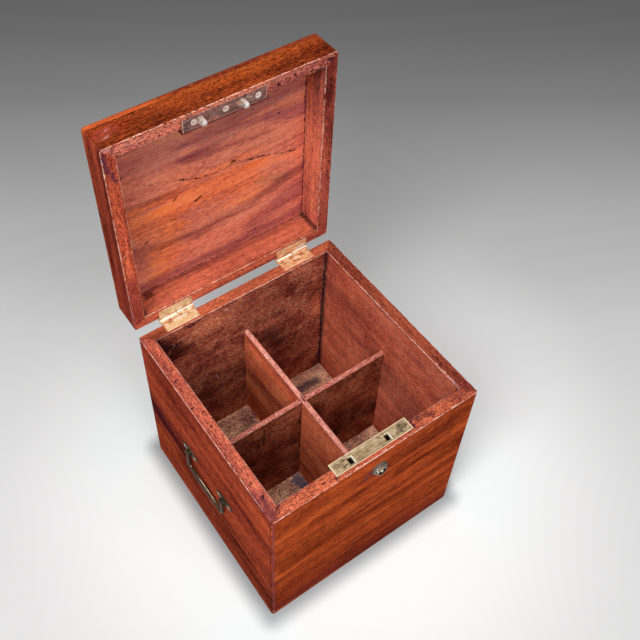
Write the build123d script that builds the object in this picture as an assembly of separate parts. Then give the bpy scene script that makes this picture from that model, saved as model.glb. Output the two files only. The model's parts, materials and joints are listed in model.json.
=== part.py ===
from build123d import *
import math
import os

# Mahogany decanter box with a hinged lid, shown open.
# Millimetres. Origin at the centre of the underside, +Z up, +Y towards the hinges, front at -Y.

# Case, in half-inch boards
box_width = 229.0
box_depth = 230.0
box_height = 211.0
board = 12.7
corner_radius = 2.6
arris = 0.7
bottom_thickness = 6.0
bottom_rebate = 6.3
brad_width = 1.4
brad_head_width = 3.0
brad_head_thickness = 0.6
brad_length = 18.0
brad_inset = 3.2
brads_per_side = 3
brad_row_margin = 26.0

# Dividers, cross-halved and housed in the side boards
divider_thickness = 5.6
divider_top = 151.0
divider_round = 2.4
housing_depth = 2.0

# Lid: a mitred frame with a board planted on top
lid_height = 34.0
lid_board = 6.5
lid_corner_radius = 3.2
lid_top_round = 2.6
joint_gap = 0.3
open_angle = 90.0

# Stopped butt hinges
hinge_end_margin = 27.0
hinge_length = 37.0
hinge_setback = 4.9
leaf_on_wood = 9.8
leaf_thickness = 1.8
knuckle_radius = 2.9
knuckle_clearance = 0.3
knuckle_gap = 0.2
centre_knuckle = 11.0
stop_clearance = 0.12
stop_thickness = 1.6
stop_room = 0.4
hinge_pin_radius = 1.25
pin_head_radius = 2.1
pin_head_thickness = 0.8
pin_head_gap = 0.1
pin_fit = 0.01
running_clearance = 0.08
hinge_screw_spacing = 20.0
hinge_screw_inset = 5.2

# Wood screws, countersunk and slotted
small_head_radius = 2.2
small_shank_radius = 1.0
small_screw_length = 10.0
screw_clearance = 0.04
screw_slot_width = 0.6
screw_slot_depth = 0.5
countersink_share = 0.75

# Lock
lock_centre = -2.0
selvedge_length = 85.0
selvedge_width = 13.2
selvedge_thickness = 2.0
selvedge_front_margin = 4.4
slot_offsets = (-23.3, 17.3)
slot_width = 4.9
slot_length = 6.4
slot_from_front = 5.75
case_end_step = 1.5
case_edge_step = 0.6
case_depth = 34.0
case_wall = 1.4
lock_screw_radius = 1.2
lock_screw_head_radius = 2.4
lock_screw_in_wood = 3.2
lock_screw_inset = 4.2

# Round barrel of the lock
barrel_x = 0.5
barrel_drop = 23.5
nozzle_flange_radius = 8.4
nozzle_flange_thickness = 1.2
nozzle_shoulder_radius = 6.9
nozzle_shoulder_rise = 1.8
nozzle_radius = 5.7
nozzle_projection = 5.2
nozzle_bore_radius = 4.6
barrel_clearance = 0.09
keyway_radius = 3.6
keyway_depth = 9.0
barrel_recess = 0.3
centre_pin_radius = 1.6
centre_pin_recess = 0.2
crank_disc_radius = 6.7
crank_disc_thickness = 2.0
crank_radius = 5.0
crank_stud_radius = 1.2
barrel_turn = 80.0

# Sliding bolt
bolt_thickness = 2.4
bolt_left = 36.0
bolt_right = 28.0
bolt_bar_height = 5.4
bolt_clearance = 0.4
finger_height = 3.5
undercut_height = 2.7
gate_width = 5.4
stud_play = 0.25
fork_width = 9.2
fork_roof = 0.4
guide_pin_radius = 1.0
guide_shoulder_radius = 1.9
guide_play = 0.1
guide_offsets = (-22.0, 24.0)

# Link plate on the lid
link_plate_length = 82.0
link_plate_width = 13.4
link_plate_thickness = 1.8
link_plate_front_margin = 4.1
link_plate_centre = -1.0
link_projection = 7.9
link_strap_width = 3.8
link_strap_thickness = 1.3
link_eye_width = 2.9
link_screw_offsets = (-30.3, 0.3, 32.3)
link_screw_from_front = 10.6
link_head_radius = 3.0
link_shank_radius = 1.4
link_screw_length = 15.0
packing_depth = 14.0
packing_overhang = 1.4
packing_end_margin = 1.2

# Drop handle on each side
handle_centre_y = -2.0
handle_pivot_height = 117.0
handle_pivot_spacing = 63.0
handle_plate_length = 28.0
handle_plate_height = 10.4
handle_plate_thickness = 1.2
handle_pivot_standoff = 3.5
lug_gap = 3.8
lug_thickness = 1.6
lug_radius = 2.1
handle_pin_radius = 1.0
eye_radius = 1.9
eye_side_play = 0.2
bail_drop = 25.0
bail_corner_radius = 5.0
bail_radius = 1.6
grip_radius = 2.3
grip_length = 50.0
handle_screw_spacing = 18.4
handle_head_radius = 1.7
handle_shank_radius = 0.9
handle_screw_length = 9.0

# Derived places
half_width = box_width / 2
half_depth = box_depth / 2
inner_half_width = half_width - board
inner_half_depth = half_depth - board
hinge_offset = half_width - hinge_end_margin - hinge_length / 2
pivot_y = half_depth + hinge_setback
pivot_z = box_height + joint_gap / 2
lid_base = box_height + joint_gap
lid_rail_height = lid_height - lid_board
leaf_face = joint_gap / 2
leaf_reach = leaf_on_wood + hinge_setback
slot_y = -half_depth + selvedge_front_margin + slot_from_front
slot_places = [lock_centre + offset for offset in slot_offsets]
selvedge_y0 = -half_depth + selvedge_front_margin
selvedge_y1 = selvedge_y0 + selvedge_width
case_top = box_height - selvedge_thickness
case_x0 = lock_centre - selvedge_length / 2 + case_end_step
case_x1 = lock_centre + selvedge_length / 2 - case_end_step
case_y0 = selvedge_y0 + case_edge_step
case_y1 = selvedge_y1 - case_edge_step
case_z0 = case_top - case_depth
barrel_z = box_height - barrel_drop
half_turn = math.radians(barrel_turn / 2)
bolt_travel = 2 * crank_radius * math.sin(half_turn)
stud_rest_x = barrel_x - crank_radius * math.sin(half_turn)
stud_rest_z = barrel_z + crank_radius * math.cos(half_turn)
bolt_y0 = slot_y - bolt_thickness / 2
bolt_y1 = slot_y + bolt_thickness / 2
bolt_top = case_top - bolt_clearance
undercut_top = bolt_top - finger_height
bar_top = undercut_top - undercut_height
bar_bottom = bar_top - bolt_bar_height
nozzle_face = -half_depth - nozzle_projection


def block(x0, x1, y0, y1, z0, z1):
    """A box between two corners."""
    centre = Pos((x0 + x1) / 2, (y0 + y1) / 2, (z0 + z1) / 2)
    return centre * Box(x1 - x0, y1 - y0, z1 - z0)


def rod_x(radius, x0, x1, y, z):
    """A round bar along X."""
    return Pos((x0 + x1) / 2, y, z) * Rot(0, 90, 0) * Cylinder(radius, x1 - x0)


def rod_y(radius, y0, y1, x, z):
    """A round bar along Y."""
    return Pos(x, (y0 + y1) / 2, z) * Rot(90, 0, 0) * Cylinder(radius, y1 - y0)


def opened(shape):
    """Swing a piece modelled on the shut lid back to the open rest pose."""
    axis = Axis((0, pivot_y, pivot_z), (1, 0, 0))
    return shape.rotate(axis, -open_angle)


def mirrored_x(shape):
    return mirror(shape, about=Plane.YZ)


def group(shapes):
    """Separate solids kept together in one node."""
    return Compound(children=list(shapes))


def wood_screw(head_radius, shank_radius, length):
    """A slotted, blunt-ended countersunk screw along Z, the head's face at zero."""
    head_depth = head_radius * countersink_share
    profile = Polyline(
        (0, 0),
        (head_radius, 0),
        (shank_radius, -head_depth),
        (shank_radius, -length),
        (0, -length),
        close=True,
    )
    screw = revolve(Plane.XZ * make_face(profile), Axis.Z)
    cut = Box(head_radius * 3, screw_slot_width, 2 * screw_slot_depth)
    return screw - cut


def screw_hole(head_radius, shank_radius, length):
    """The clearance hole that a wood screw sits in."""
    head_depth = head_radius * countersink_share
    gap = screw_clearance
    profile = Polyline(
        (0, 1),
        (head_radius + gap, 1),
        (head_radius + gap, -gap),
        (shank_radius + gap, -head_depth - gap),
        (shank_radius + gap, -length - gap),
        (0, -length - gap),
        close=True,
    )
    return revolve(Plane.XZ * make_face(profile), Axis.Z)


def mitre_wedge(side, z0, z1):
    """The corner-to-corner wedge of one side of a mitred frame."""
    out = corner_radius * 2
    reach = board + 2
    a, b = half_width + out, half_depth + out
    c, d = half_width - reach, half_depth - reach
    corners = {
        "front": [(-a, -b), (a, -b), (c, -d), (-c, -d)],
        "back": [(-a, b), (a, b), (c, d), (-c, d)],
        "left": [(-a, -b), (-a, b), (-c, d), (-c, -d)],
        "right": [(a, -b), (a, b), (c, d), (c, -d)],
    }[side]
    face = make_face(Polyline(*corners, close=True))
    return Pos(0, 0, z0) * extrude(face, z1 - z0)


# Case boards
def case_ring():
    outer = extrude(RectangleRounded(box_width, box_depth, corner_radius), box_height)
    outer = fillet(outer.edges().group_by(Axis.Z)[0], arris)
    inner = extrude(Rectangle(2 * inner_half_width, 2 * inner_half_depth), box_height)
    ring = outer - inner
    ring = fillet(ring.edges().group_by(Axis.Z)[-1], arris)
    reach_x = inner_half_width + bottom_rebate
    reach_y = inner_half_depth + bottom_rebate
    return ring - block(-reach_x, reach_x, -reach_y, reach_y, -1, bottom_thickness)


def brad_places():
    """Where the brads go up through the bottom board, as (x, y)."""
    places = []
    for n in range(brads_per_side):
        share = n / (brads_per_side - 1) * 2 - 1
        for sign in (-1, 1):
            edge_y = sign * (inner_half_depth + brad_inset)
            places.append((share * (inner_half_width - brad_row_margin), edge_y))
            edge_x = sign * (inner_half_width + brad_inset)
            places.append((edge_x, share * (inner_half_depth - brad_row_margin)))
    return places


def brad(gap=0.0):
    """A square cut brad, or the hole that it sits in where a gap is given."""
    head_half = brad_head_width / 2 + gap
    stem_half = brad_width / 2 + gap
    bottom = -1 if gap else 0
    head = block(-head_half, head_half, -head_half, head_half, bottom, brad_head_thickness + gap)
    return head + block(-stem_half, stem_half, -stem_half, stem_half, bottom, brad_length + gap)


brad_holes = group([Pos(x, y, 0) * brad(screw_clearance) for x, y in brad_places()])

bottom_x = inner_half_width + bottom_rebate
bottom_y = inner_half_depth + bottom_rebate
bottom_board = block(-bottom_x, bottom_x, -bottom_y, bottom_y, 0, bottom_thickness)
bottom_board -= brad_holes
bottom_brads = group([Pos(x, y, 0) * brad() for x, y in brad_places()])


# Dividers
def divider(half_length):
    """One divider along Y, with its upper edge rounded over."""
    half = divider_thickness / 2
    wall = block(-half, half, -half_length, half_length, bottom_thickness, divider_top)
    top = wall.edges().filter_by(Axis.Y).group_by(Axis.Z)[-1]
    return fillet(top, divider_round)


divider_middle = (bottom_thickness + divider_top) / 2
half = divider_thickness / 2
long_divider = divider(inner_half_depth + housing_depth)
long_divider -= block(-half, half, -half, half, bottom_thickness, divider_middle)
cross_divider = Rot(0, 0, 90) * divider(inner_half_width + housing_depth)
cross_divider -= block(-half, half, -half, half, divider_middle, divider_top)

divider_housings = group([
    divider(inner_half_depth + housing_depth),
    Rot(0, 0, 90) * divider(inner_half_width + housing_depth),
])


# Hinges, drawn about the pivot axis with X along the knuckle
def knuckle_spans(side):
    """Where along the hinge the knuckles of one leaf lie: the lid leaf has the centre one."""
    inner = centre_knuckle / 2
    if side == "lid":
        return [(-inner + knuckle_gap / 2, inner - knuckle_gap / 2)]
    return [
        (-hinge_length / 2, -inner - knuckle_gap / 2),
        (inner + knuckle_gap / 2, hinge_length / 2),
    ]


def box_leaf():
    """The leaf let into the box, with its two knuckles and their stop lips."""
    low, high = -leaf_face - leaf_thickness, -leaf_face
    leaf = block(-hinge_length / 2, hinge_length / 2, -leaf_reach, 0, low, high)
    clear = knuckle_radius + knuckle_clearance
    for x0, x1 in knuckle_spans("lid"):
        leaf -= rod_x(clear, x0 - knuckle_gap, x1 + knuckle_gap, 0, 0)
    lip_y0 = leaf_face + leaf_thickness + stop_clearance
    lip_top = hinge_setback - stop_room
    for x0, x1 in knuckle_spans("box"):
        leaf += rod_x(knuckle_radius, x0, x1, 0, 0)
        leaf += block(x0, x1, lip_y0, lip_y0 + stop_thickness, low, lip_top)
    leaf -= rod_x(hinge_pin_radius + pin_fit, -hinge_length, hinge_length, 0, 0)
    for x in (-hinge_screw_spacing / 2, hinge_screw_spacing / 2):
        hole = screw_hole(small_head_radius, small_shank_radius, small_screw_length)
        leaf -= Pos(x, -leaf_reach + hinge_screw_inset, high) * hole
    return leaf


def lid_leaf():
    """The leaf let into the lid, as it lies with the lid shut."""
    low, high = leaf_face, leaf_face + leaf_thickness
    leaf = block(-hinge_length / 2, hinge_length / 2, -leaf_reach, 0, low, high)
    clear = knuckle_radius + knuckle_clearance
    for x0, x1 in knuckle_spans("box"):
        leaf -= rod_x(clear, x0 - knuckle_gap, x1 + knuckle_gap, 0, 0)
    lip_y0 = leaf_face + leaf_thickness + stop_clearance
    lip_bottom = -hinge_setback + stop_room
    for x0, x1 in knuckle_spans("lid"):
        leaf += rod_x(knuckle_radius, x0, x1, 0, 0)
        leaf += block(x0, x1, lip_y0, lip_y0 + stop_thickness, lip_bottom, high)
    leaf -= rod_x(hinge_pin_radius + running_clearance, -hinge_length, hinge_length, 0, 0)
    for x in (-hinge_screw_spacing / 2, hinge_screw_spacing / 2):
        hole = screw_hole(small_head_radius, small_shank_radius, small_screw_length)
        leaf -= Pos(x, -leaf_reach + hinge_screw_inset, low) * Rot(180, 0, 0) * hole
    return leaf


def hinge_pin():
    """The pin, with a peened head at each end."""
    reach = hinge_length / 2 + pin_head_gap
    pin = rod_x(hinge_pin_radius, -reach, reach, 0, 0)
    for x0, x1 in ((-reach - pin_head_thickness, -reach), (reach, reach + pin_head_thickness)):
        pin += rod_x(pin_head_radius, x0, x1, 0, 0)
    ends = pin.edges().filter_by(GeomType.CIRCLE).sort_by(Axis.X)
    return chamfer([ends[0], ends[-1]], pin_head_thickness * 0.5)


def hinge_screws(face_z, upside_down):
    """The two screws of one leaf, in the hinge's own place."""
    turn = Rot(180, 0, 0) if upside_down else Rot(0, 0, 0)
    screws = []
    for x in (-hinge_screw_spacing / 2, hinge_screw_spacing / 2):
        screw = wood_screw(small_head_radius, small_shank_radius, small_screw_length)
        screws.append(Pos(x, -leaf_reach + hinge_screw_inset, face_z) * turn * screw)
    return screws


def hinge_screw_holes(face_z, upside_down):
    turn = Rot(180, 0, 0) if upside_down else Rot(0, 0, 0)
    holes = []
    for x in (-hinge_screw_spacing / 2, hinge_screw_spacing / 2):
        hole = screw_hole(small_head_radius, small_shank_radius, small_screw_length)
        holes.append(Pos(x, -leaf_reach + hinge_screw_inset, face_z) * turn * hole)
    return holes


def leaf_recess(low, high):
    """The shallow pocket that one leaf is let into, in the hinge's own place."""
    return block(-hinge_length / 2, hinge_length / 2, -leaf_reach, 0, low, high)


hinge_places = {
    "left": Pos(-hinge_offset, pivot_y, pivot_z),
    "right": Pos(hinge_offset, pivot_y, pivot_z),
}
box_hinge_cuts = []
lid_hinge_cuts = []
for place in hinge_places.values():
    box_hinge_cuts.append(place * leaf_recess(-leaf_face - leaf_thickness, 1))
    box_hinge_cuts += [place * hole for hole in hinge_screw_holes(-leaf_face, False)]
    lid_hinge_cuts.append(place * leaf_recess(-1, leaf_face + leaf_thickness))
    lid_hinge_cuts += [place * hole for hole in hinge_screw_holes(leaf_face, True)]


# Lock case, cover and selvedge
def selvedge():
    x0 = lock_centre - selvedge_length / 2
    x1 = lock_centre + selvedge_length / 2
    plate = block(x0, x1, selvedge_y0, selvedge_y1, case_top, box_height)
    for x in slot_places:
        plate -= block(
            x - slot_width / 2, x + slot_width / 2,
            slot_y - slot_length / 2, slot_y + slot_length / 2,
            case_top - 1, box_height + 1,
        )
    return plate


def lock_screw_places():
    """The lock's four fixing screws, as (x, z)."""
    places = []
    for x in (case_x0 + lock_screw_inset, case_x1 - lock_screw_inset):
        for z in (case_z0 + lock_screw_inset, case_top - 4 * lock_screw_inset):
            places.append((x, z))
    return places


lock_screw_length = case_y1 - case_y0 + lock_screw_in_wood


def lock_screw_at(x, z, piece):
    return Pos(x, case_y1, z) * Rot(-90, 0, 0) * piece


lock_screw_holes = group([
    lock_screw_at(x, z, screw_hole(lock_screw_head_radius, lock_screw_radius, lock_screw_length))
    for x, z in lock_screw_places()
])
lock_screws = group([
    lock_screw_at(x, z, wood_screw(lock_screw_head_radius, lock_screw_radius, lock_screw_length))
    for x, z in lock_screw_places()
])

guide_z = (bar_top + bar_bottom) / 2
guide_places = [lock_centre + offset for offset in guide_offsets]


def lock_case():
    """The case: front wall, two ends and a floor, open at the back and the top."""
    body = block(case_x0, case_x1, case_y0, case_y1 - case_wall, case_z0, case_top)
    body -= block(
        case_x0 + case_wall, case_x1 - case_wall,
        case_y0 + case_wall, case_y1,
        case_z0 + case_wall, case_top + 1,
    )
    body -= rod_y(nozzle_radius + screw_clearance, case_y0 - 1, case_y0 + case_wall + 1, barrel_x, barrel_z)
    body -= lock_screw_holes
    for x in guide_places:
        body -= rod_y(guide_pin_radius, case_y0 - 1, case_y0 + case_wall + 1, x, guide_z)
    return body


def lock_cover():
    """The cover that shuts the back of the case and carries the centre pin."""
    cover = block(case_x0, case_x1, case_y1 - case_wall, case_y1, case_z0, case_top)
    cover -= rod_y(centre_pin_radius, case_y1 - case_wall - 1, case_y1 + 1, barrel_x, barrel_z)
    cover -= lock_screw_holes
    for x in guide_places:
        cover -= rod_y(guide_pin_radius, case_y1 - case_wall - 1, case_y1 + 1, x, guide_z)
    return cover


def guide_pin(x):
    """A stepped pin from the case to the cover that the bolt slides on."""
    inner_y0 = case_y0 + case_wall
    inner_y1 = case_y1 - case_wall
    pin = rod_y(guide_pin_radius, case_y0, case_y1, x, guide_z)
    pin += rod_y(guide_shoulder_radius, inner_y0, bolt_y0 - guide_play, x, guide_z)
    pin += rod_y(guide_shoulder_radius, bolt_y1 + guide_play, inner_y1, x, guide_z)
    return pin


# Round nozzle, barrel and centre pin
nozzle_inner_end = case_y0 + case_wall


def nozzle():
    """The stepped nozzle, turned about the barrel's axis."""
    flange_y = -half_depth - nozzle_flange_thickness
    shoulder_y = flange_y - nozzle_shoulder_rise
    step = 0.5
    outline = Polyline(
        (nozzle_bore_radius, nozzle_inner_end),
        (nozzle_radius, nozzle_inner_end),
        (nozzle_radius, -half_depth),
        (nozzle_flange_radius, -half_depth),
        (nozzle_flange_radius, flange_y),
    )
    dome = ThreePointArc(
        (nozzle_flange_radius, flange_y),
        (nozzle_shoulder_radius + 0.7, flange_y - nozzle_shoulder_rise * 0.62),
        (nozzle_shoulder_radius, shoulder_y),
    )
    face = Polyline(
        (nozzle_shoulder_radius, shoulder_y),
        (nozzle_radius + step / 2, shoulder_y),
        (nozzle_radius, shoulder_y - step),
        (nozzle_radius, nozzle_face + step),
        (nozzle_radius - step, nozzle_face),
        (nozzle_bore_radius, nozzle_face),
        (nozzle_bore_radius, nozzle_inner_end),
    )
    turned = revolve(make_face(Curve() + [outline, dome, face]), Axis.Y)
    return Pos(barrel_x, 0, barrel_z) * turned


def barrel():
    """The plug that the key turns: a tube with a crank disc and stud at its inner end."""
    front = nozzle_face + barrel_recess
    disc_y0 = nozzle_inner_end + guide_play
    disc_y1 = disc_y0 + crank_disc_thickness
    radius = nozzle_bore_radius - barrel_clearance
    plug = rod_y(radius, front, disc_y1, 0, 0)
    plug += rod_y(crank_disc_radius, disc_y0, disc_y1, 0, 0)
    plug -= rod_y(keyway_radius, front - 1, front + keyway_depth, 0, 0)
    plug -= rod_y(centre_pin_radius + running_clearance, front - 1, disc_y1 + 1, 0, 0)
    stud_end = bolt_y1 + bolt_clearance
    stud = rod_y(crank_stud_radius, disc_y1, stud_end, stud_rest_x - barrel_x, stud_rest_z - barrel_z)
    return Pos(barrel_x, 0, barrel_z) * (plug + stud)


centre_pin = rod_y(centre_pin_radius, nozzle_face + centre_pin_recess, case_y1, barrel_x, barrel_z)
centre_pin = chamfer(centre_pin.edges().sort_by(Axis.Y)[0], centre_pin_radius * 0.4)


# Sliding bolt
def bolt():
    """The bolt plate: a bar with two hooked fingers above and a fork for the stud below."""
    x0 = lock_centre - bolt_left
    x1 = lock_centre + bolt_right
    plate = block(x0, x1, bolt_y0, bolt_y1, bar_bottom, bolt_top)
    for x in slot_places:
        gate_left = x - gate_width / 2
        gate_right = x + gate_width / 2
        plate -= block(gate_left, gate_right, bolt_y0 - 1, bolt_y1 + 1, bar_top, bolt_top + 1)
        under_left = gate_left - bolt_travel - bolt_clearance
        plate -= block(under_left, gate_left + 1, bolt_y0 - 1, bolt_y1 + 1, bar_top, undercut_top)
    fork_bottom = barrel_z + centre_pin_radius + bolt_clearance
    plate += block(
        stud_rest_x - fork_width / 2, stud_rest_x + fork_width / 2,
        bolt_y0, bolt_y1, fork_bottom, bar_bottom + 0.1,
    )
    mouth = crank_stud_radius + stud_play
    fork_top = barrel_z + crank_radius + crank_stud_radius + fork_roof
    plate -= block(
        stud_rest_x - mouth, stud_rest_x + mouth,
        bolt_y0 - 1, bolt_y1 + 1, fork_bottom - 1, fork_top,
    )
    groove = guide_pin_radius + guide_play
    for x in guide_places:
        for end in (x, x - bolt_travel):
            plate -= rod_y(groove, bolt_y0 - 1, bolt_y1 + 1, end, guide_z)
        plate -= block(
            x - bolt_travel, x,
            bolt_y0 - 1, bolt_y1 + 1, guide_z - groove, guide_z + groove,
        )
    return plate


lock_pocket = [
    block(
        lock_centre - selvedge_length / 2, lock_centre + selvedge_length / 2,
        selvedge_y0, -inner_half_depth + 1, case_top, box_height + 1,
    ),
    block(case_x0, case_x1, case_y0, -inner_half_depth + 1, case_z0, box_height),
    rod_y(nozzle_radius + screw_clearance, -half_depth - 1, -inner_half_depth, barrel_x, barrel_z),
    lock_screw_holes,
]


# Drop handles, drawn on the left side
def handle_plate():
    """One backplate: a pointed oval with two lugs, its centre at the origin, facing -X."""
    half_length = handle_plate_length / 2
    half_height = handle_plate_height / 2
    upper = ThreePointArc((-half_length, 0), (0, half_height), (half_length, 0))
    lower = ThreePointArc((half_length, 0), (0, -half_height), (-half_length, 0))
    face = Plane.YZ * make_face(Curve() + [upper, lower])
    plate = extrude(face, handle_plate_thickness, dir=(-1, 0, 0))
    for sign in (-1, 1):
        y0 = sign * lug_gap / 2
        y1 = sign * (lug_gap / 2 + lug_thickness)
        low, high = min(y0, y1), max(y0, y1)
        lug = rod_y(lug_radius, low, high, -handle_pivot_standoff, 0)
        lug += block(-handle_pivot_standoff, -handle_plate_thickness / 2, low, high, -lug_radius, lug_radius)
        plate += lug
        y = sign * handle_screw_spacing / 2
        hole = screw_hole(handle_head_radius, handle_shank_radius, handle_screw_length)
        plate -= Pos(-handle_plate_thickness, y, 0) * Rot(0, -90, 0) * hole
    span = lug_gap + 2 * lug_thickness
    return plate - rod_y(handle_pin_radius, -span / 2 - 1, span / 2 + 1, -handle_pivot_standoff, 0)


def bail():
    """The bail hanging from its two eyes, drawn about the midpoint between them."""
    half_span = handle_pivot_spacing / 2
    path = FilletPolyline(
        (0, half_span, 0),
        (0, half_span, -bail_drop),
        (0, -half_span, -bail_drop),
        (0, -half_span, 0),
        radius=bail_corner_radius,
    )
    start = Plane(origin=path @ 0, z_dir=path % 0)
    rod = sweep(start * Circle(bail_radius), path=path)
    half_grip = grip_length / 2
    swell = ThreePointArc((bail_radius, -half_grip), (grip_radius, 0), (bail_radius, half_grip))
    core = Polyline((bail_radius, half_grip), (0, half_grip), (0, -half_grip), (bail_radius, -half_grip))
    grip = revolve(make_face(Curve() + [swell, core]), Axis.Y)
    rod += Pos(0, 0, -bail_drop) * grip
    eye_half = lug_gap / 2 - eye_side_play
    for sign in (-1, 1):
        rod += rod_y(eye_radius, sign * half_span - eye_half, sign * half_span + eye_half, 0, 0)
    for sign in (-1, 1):
        bore = handle_pin_radius + running_clearance
        rod -= rod_y(bore, sign * half_span - eye_half - 1, sign * half_span + eye_half + 1, 0, 0)
    return rod


handle_face = Pos(-half_width, handle_centre_y, handle_pivot_height)
plate_shifts = [Pos(0, sign * handle_pivot_spacing / 2, 0) for sign in (-1, 1)]
left_handle_plates = [handle_face * shift * handle_plate() for shift in plate_shifts]
left_handle_bail = handle_face * Pos(-handle_pivot_standoff, 0, 0) * bail()
pin_half = lug_gap / 2 + lug_thickness
left_handle_pins = [
    handle_face * shift * rod_y(handle_pin_radius, -pin_half, pin_half, -handle_pivot_standoff, 0)
    for shift in plate_shifts
]


def handle_screw_set(piece):
    placed = []
    for shift in plate_shifts:
        for sign in (-1, 1):
            spot = Pos(-handle_plate_thickness, sign * handle_screw_spacing / 2, 0)
            placed.append(handle_face * shift * spot * Rot(0, -90, 0) * piece)
    return placed


left_handle_screws = handle_screw_set(
    wood_screw(handle_head_radius, handle_shank_radius, handle_screw_length)
)
left_handle_holes = handle_screw_set(
    screw_hole(handle_head_radius, handle_shank_radius, handle_screw_length)
)

# Case boards with their cuts
ring = case_ring() - divider_housings - brad_holes
front_board = ring & mitre_wedge("front", -1, box_height + 1)
for cut in lock_pocket:
    front_board -= cut
back_board = ring & mitre_wedge("back", -1, box_height + 1)
for cut in box_hinge_cuts:
    back_board -= cut
left_board = ring & mitre_wedge("left", -1, box_height + 1)
right_board = ring & mitre_wedge("right", -1, box_height + 1)
for hole in left_handle_holes:
    left_board -= hole
    right_board -= mirrored_x(hole)


# Lid, drawn shut
def lid_ring():
    outline = RectangleRounded(box_width, box_depth, lid_corner_radius)
    outer = extrude(outline, lid_rail_height)
    inner = extrude(Rectangle(2 * inner_half_width, 2 * inner_half_depth), lid_rail_height)
    frame = outer - inner
    frame = fillet(frame.edges().group_by(Axis.Z)[0], arris)
    return Pos(0, 0, lid_base) * frame


def lid_top():
    outline = RectangleRounded(box_width, box_depth, lid_corner_radius)
    panel = extrude(outline, lid_board)
    panel = fillet(panel.edges().group_by(Axis.Z)[-1], lid_top_round)
    return Pos(0, 0, lid_base + lid_rail_height) * panel


plate_x0 = link_plate_centre - link_plate_length / 2
plate_x1 = link_plate_centre + link_plate_length / 2
plate_y0 = -half_depth + link_plate_front_margin
plate_y1 = plate_y0 + link_plate_width
plate_top = lid_base + link_plate_thickness
link_screw_y = -half_depth + link_screw_from_front


def link(x):
    """One link: a strap bent into a loop, its legs let through the plate."""
    half_y = link_eye_width / 2 + link_strap_thickness
    bottom = box_height - link_projection
    loop = block(
        x - link_strap_width / 2, x + link_strap_width / 2,
        slot_y - half_y, slot_y + half_y, bottom, plate_top,
    )
    loop = fillet(loop.edges().filter_by(Axis.X).group_by(Axis.Z)[0], half_y * 0.8)
    eye_bottom = bottom + link_strap_thickness
    eye = block(
        x - link_strap_width, x + link_strap_width,
        slot_y - link_eye_width / 2, slot_y + link_eye_width / 2, eye_bottom, plate_top + 1,
    )
    eye = fillet(eye.edges().filter_by(Axis.X).group_by(Axis.Z)[0], link_eye_width * 0.35)
    return loop - eye


def link_leg_holes(x):
    half_y = link_eye_width / 2 + link_strap_thickness
    holes = []
    for y0, y1 in (
        (slot_y - half_y, slot_y - link_eye_width / 2),
        (slot_y + link_eye_width / 2, slot_y + half_y),
    ):
        holes.append(block(
            x - link_strap_width / 2, x + link_strap_width / 2,
            y0, y1, lid_base - 1, plate_top + 1,
        ))
    return holes


def link_screw_set(piece):
    placed = []
    for offset in link_screw_offsets:
        spot = Pos(link_plate_centre + offset, link_screw_y, lid_base)
        placed.append(spot * Rot(180, 0, 0) * piece)
    return placed


link_holes = link_screw_set(screw_hole(link_head_radius, link_shank_radius, link_screw_length))
link_screws = link_screw_set(wood_screw(link_head_radius, link_shank_radius, link_screw_length))
link_plate = block(plate_x0, plate_x1, plate_y0, plate_y1, lid_base, plate_top)
for hole in link_holes:
    link_plate -= hole
for x in slot_places:
    for hole in link_leg_holes(x):
        link_plate -= hole

link_recess = block(plate_x0, plate_x1, plate_y0, plate_y1, lid_base - 1, plate_top)
packing_block = block(
    plate_x0 - packing_end_margin, plate_x1 + packing_end_margin,
    -inner_half_depth, plate_y1 + packing_overhang,
    lid_base, lid_base + packing_depth,
)
packing_block -= link_recess
lid_frame = lid_ring()
lid_front_rail = lid_frame & mitre_wedge("front", lid_base - 1, lid_base + lid_height)
lid_front_rail -= link_recess
for hole in link_holes:
    lid_front_rail -= hole
lid_back_rail = lid_frame & mitre_wedge("back", lid_base - 1, lid_base + lid_height)
for cut in lid_hinge_cuts:
    lid_back_rail -= cut
lid_left_rail = lid_frame & mitre_wedge("left", lid_base - 1, lid_base + lid_height)
lid_right_rail = lid_frame & mitre_wedge("right", lid_base - 1, lid_base + lid_height)

# Every node, by the name of its file
nodes = {
    "front_board": front_board,
    "back_board": back_board,
    "left_board": left_board,
    "right_board": right_board,
    "bottom_board": bottom_board,
    "bottom_brads": bottom_brads,
    "long_divider": long_divider,
    "cross_divider": cross_divider,
    "lock_selvedge": selvedge(),
    "lock_case": lock_case(),
    "lock_cover": lock_cover(),
    "lock_screws": lock_screws,
    "lock_guide_pins": group([guide_pin(x) for x in guide_places]),
    "lock_nozzle": nozzle(),
    "lock_barrel": barrel(),
    "lock_centre_pin": centre_pin,
    "lock_bolt": bolt(),
    "lid_top_board": opened(lid_top()),
    "lid_front_rail": opened(lid_front_rail),
    "lid_back_rail": opened(lid_back_rail),
    "lid_left_rail": opened(lid_left_rail),
    "lid_right_rail": opened(lid_right_rail),
    "link_plate": opened(link_plate),
    "link_packing_block": opened(packing_block),
    "link_hooks": group([opened(link(x)) for x in slot_places]),
    "link_screws": group([opened(screw) for screw in link_screws]),
}
for side, place in hinge_places.items():
    nodes[side + "_hinge_box_leaf"] = place * box_leaf()
    nodes[side + "_hinge_lid_leaf"] = opened(place * lid_leaf())
    nodes[side + "_hinge_pin"] = place * hinge_pin()
    nodes[side + "_hinge_box_screws"] = group([place * s for s in hinge_screws(-leaf_face, False)])
    nodes[side + "_hinge_lid_screws"] = group(
        [opened(place * s) for s in hinge_screws(leaf_face, True)]
    )
handles = {
    "handle_plates": left_handle_plates,
    "handle_bail": [left_handle_bail],
    "handle_pins": left_handle_pins,
    "handle_screws": left_handle_screws,
}
for name, pieces in handles.items():
    nodes["left_" + name] = group(pieces)
    nodes["right_" + name] = group([mirrored_x(piece) for piece in pieces])

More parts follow.
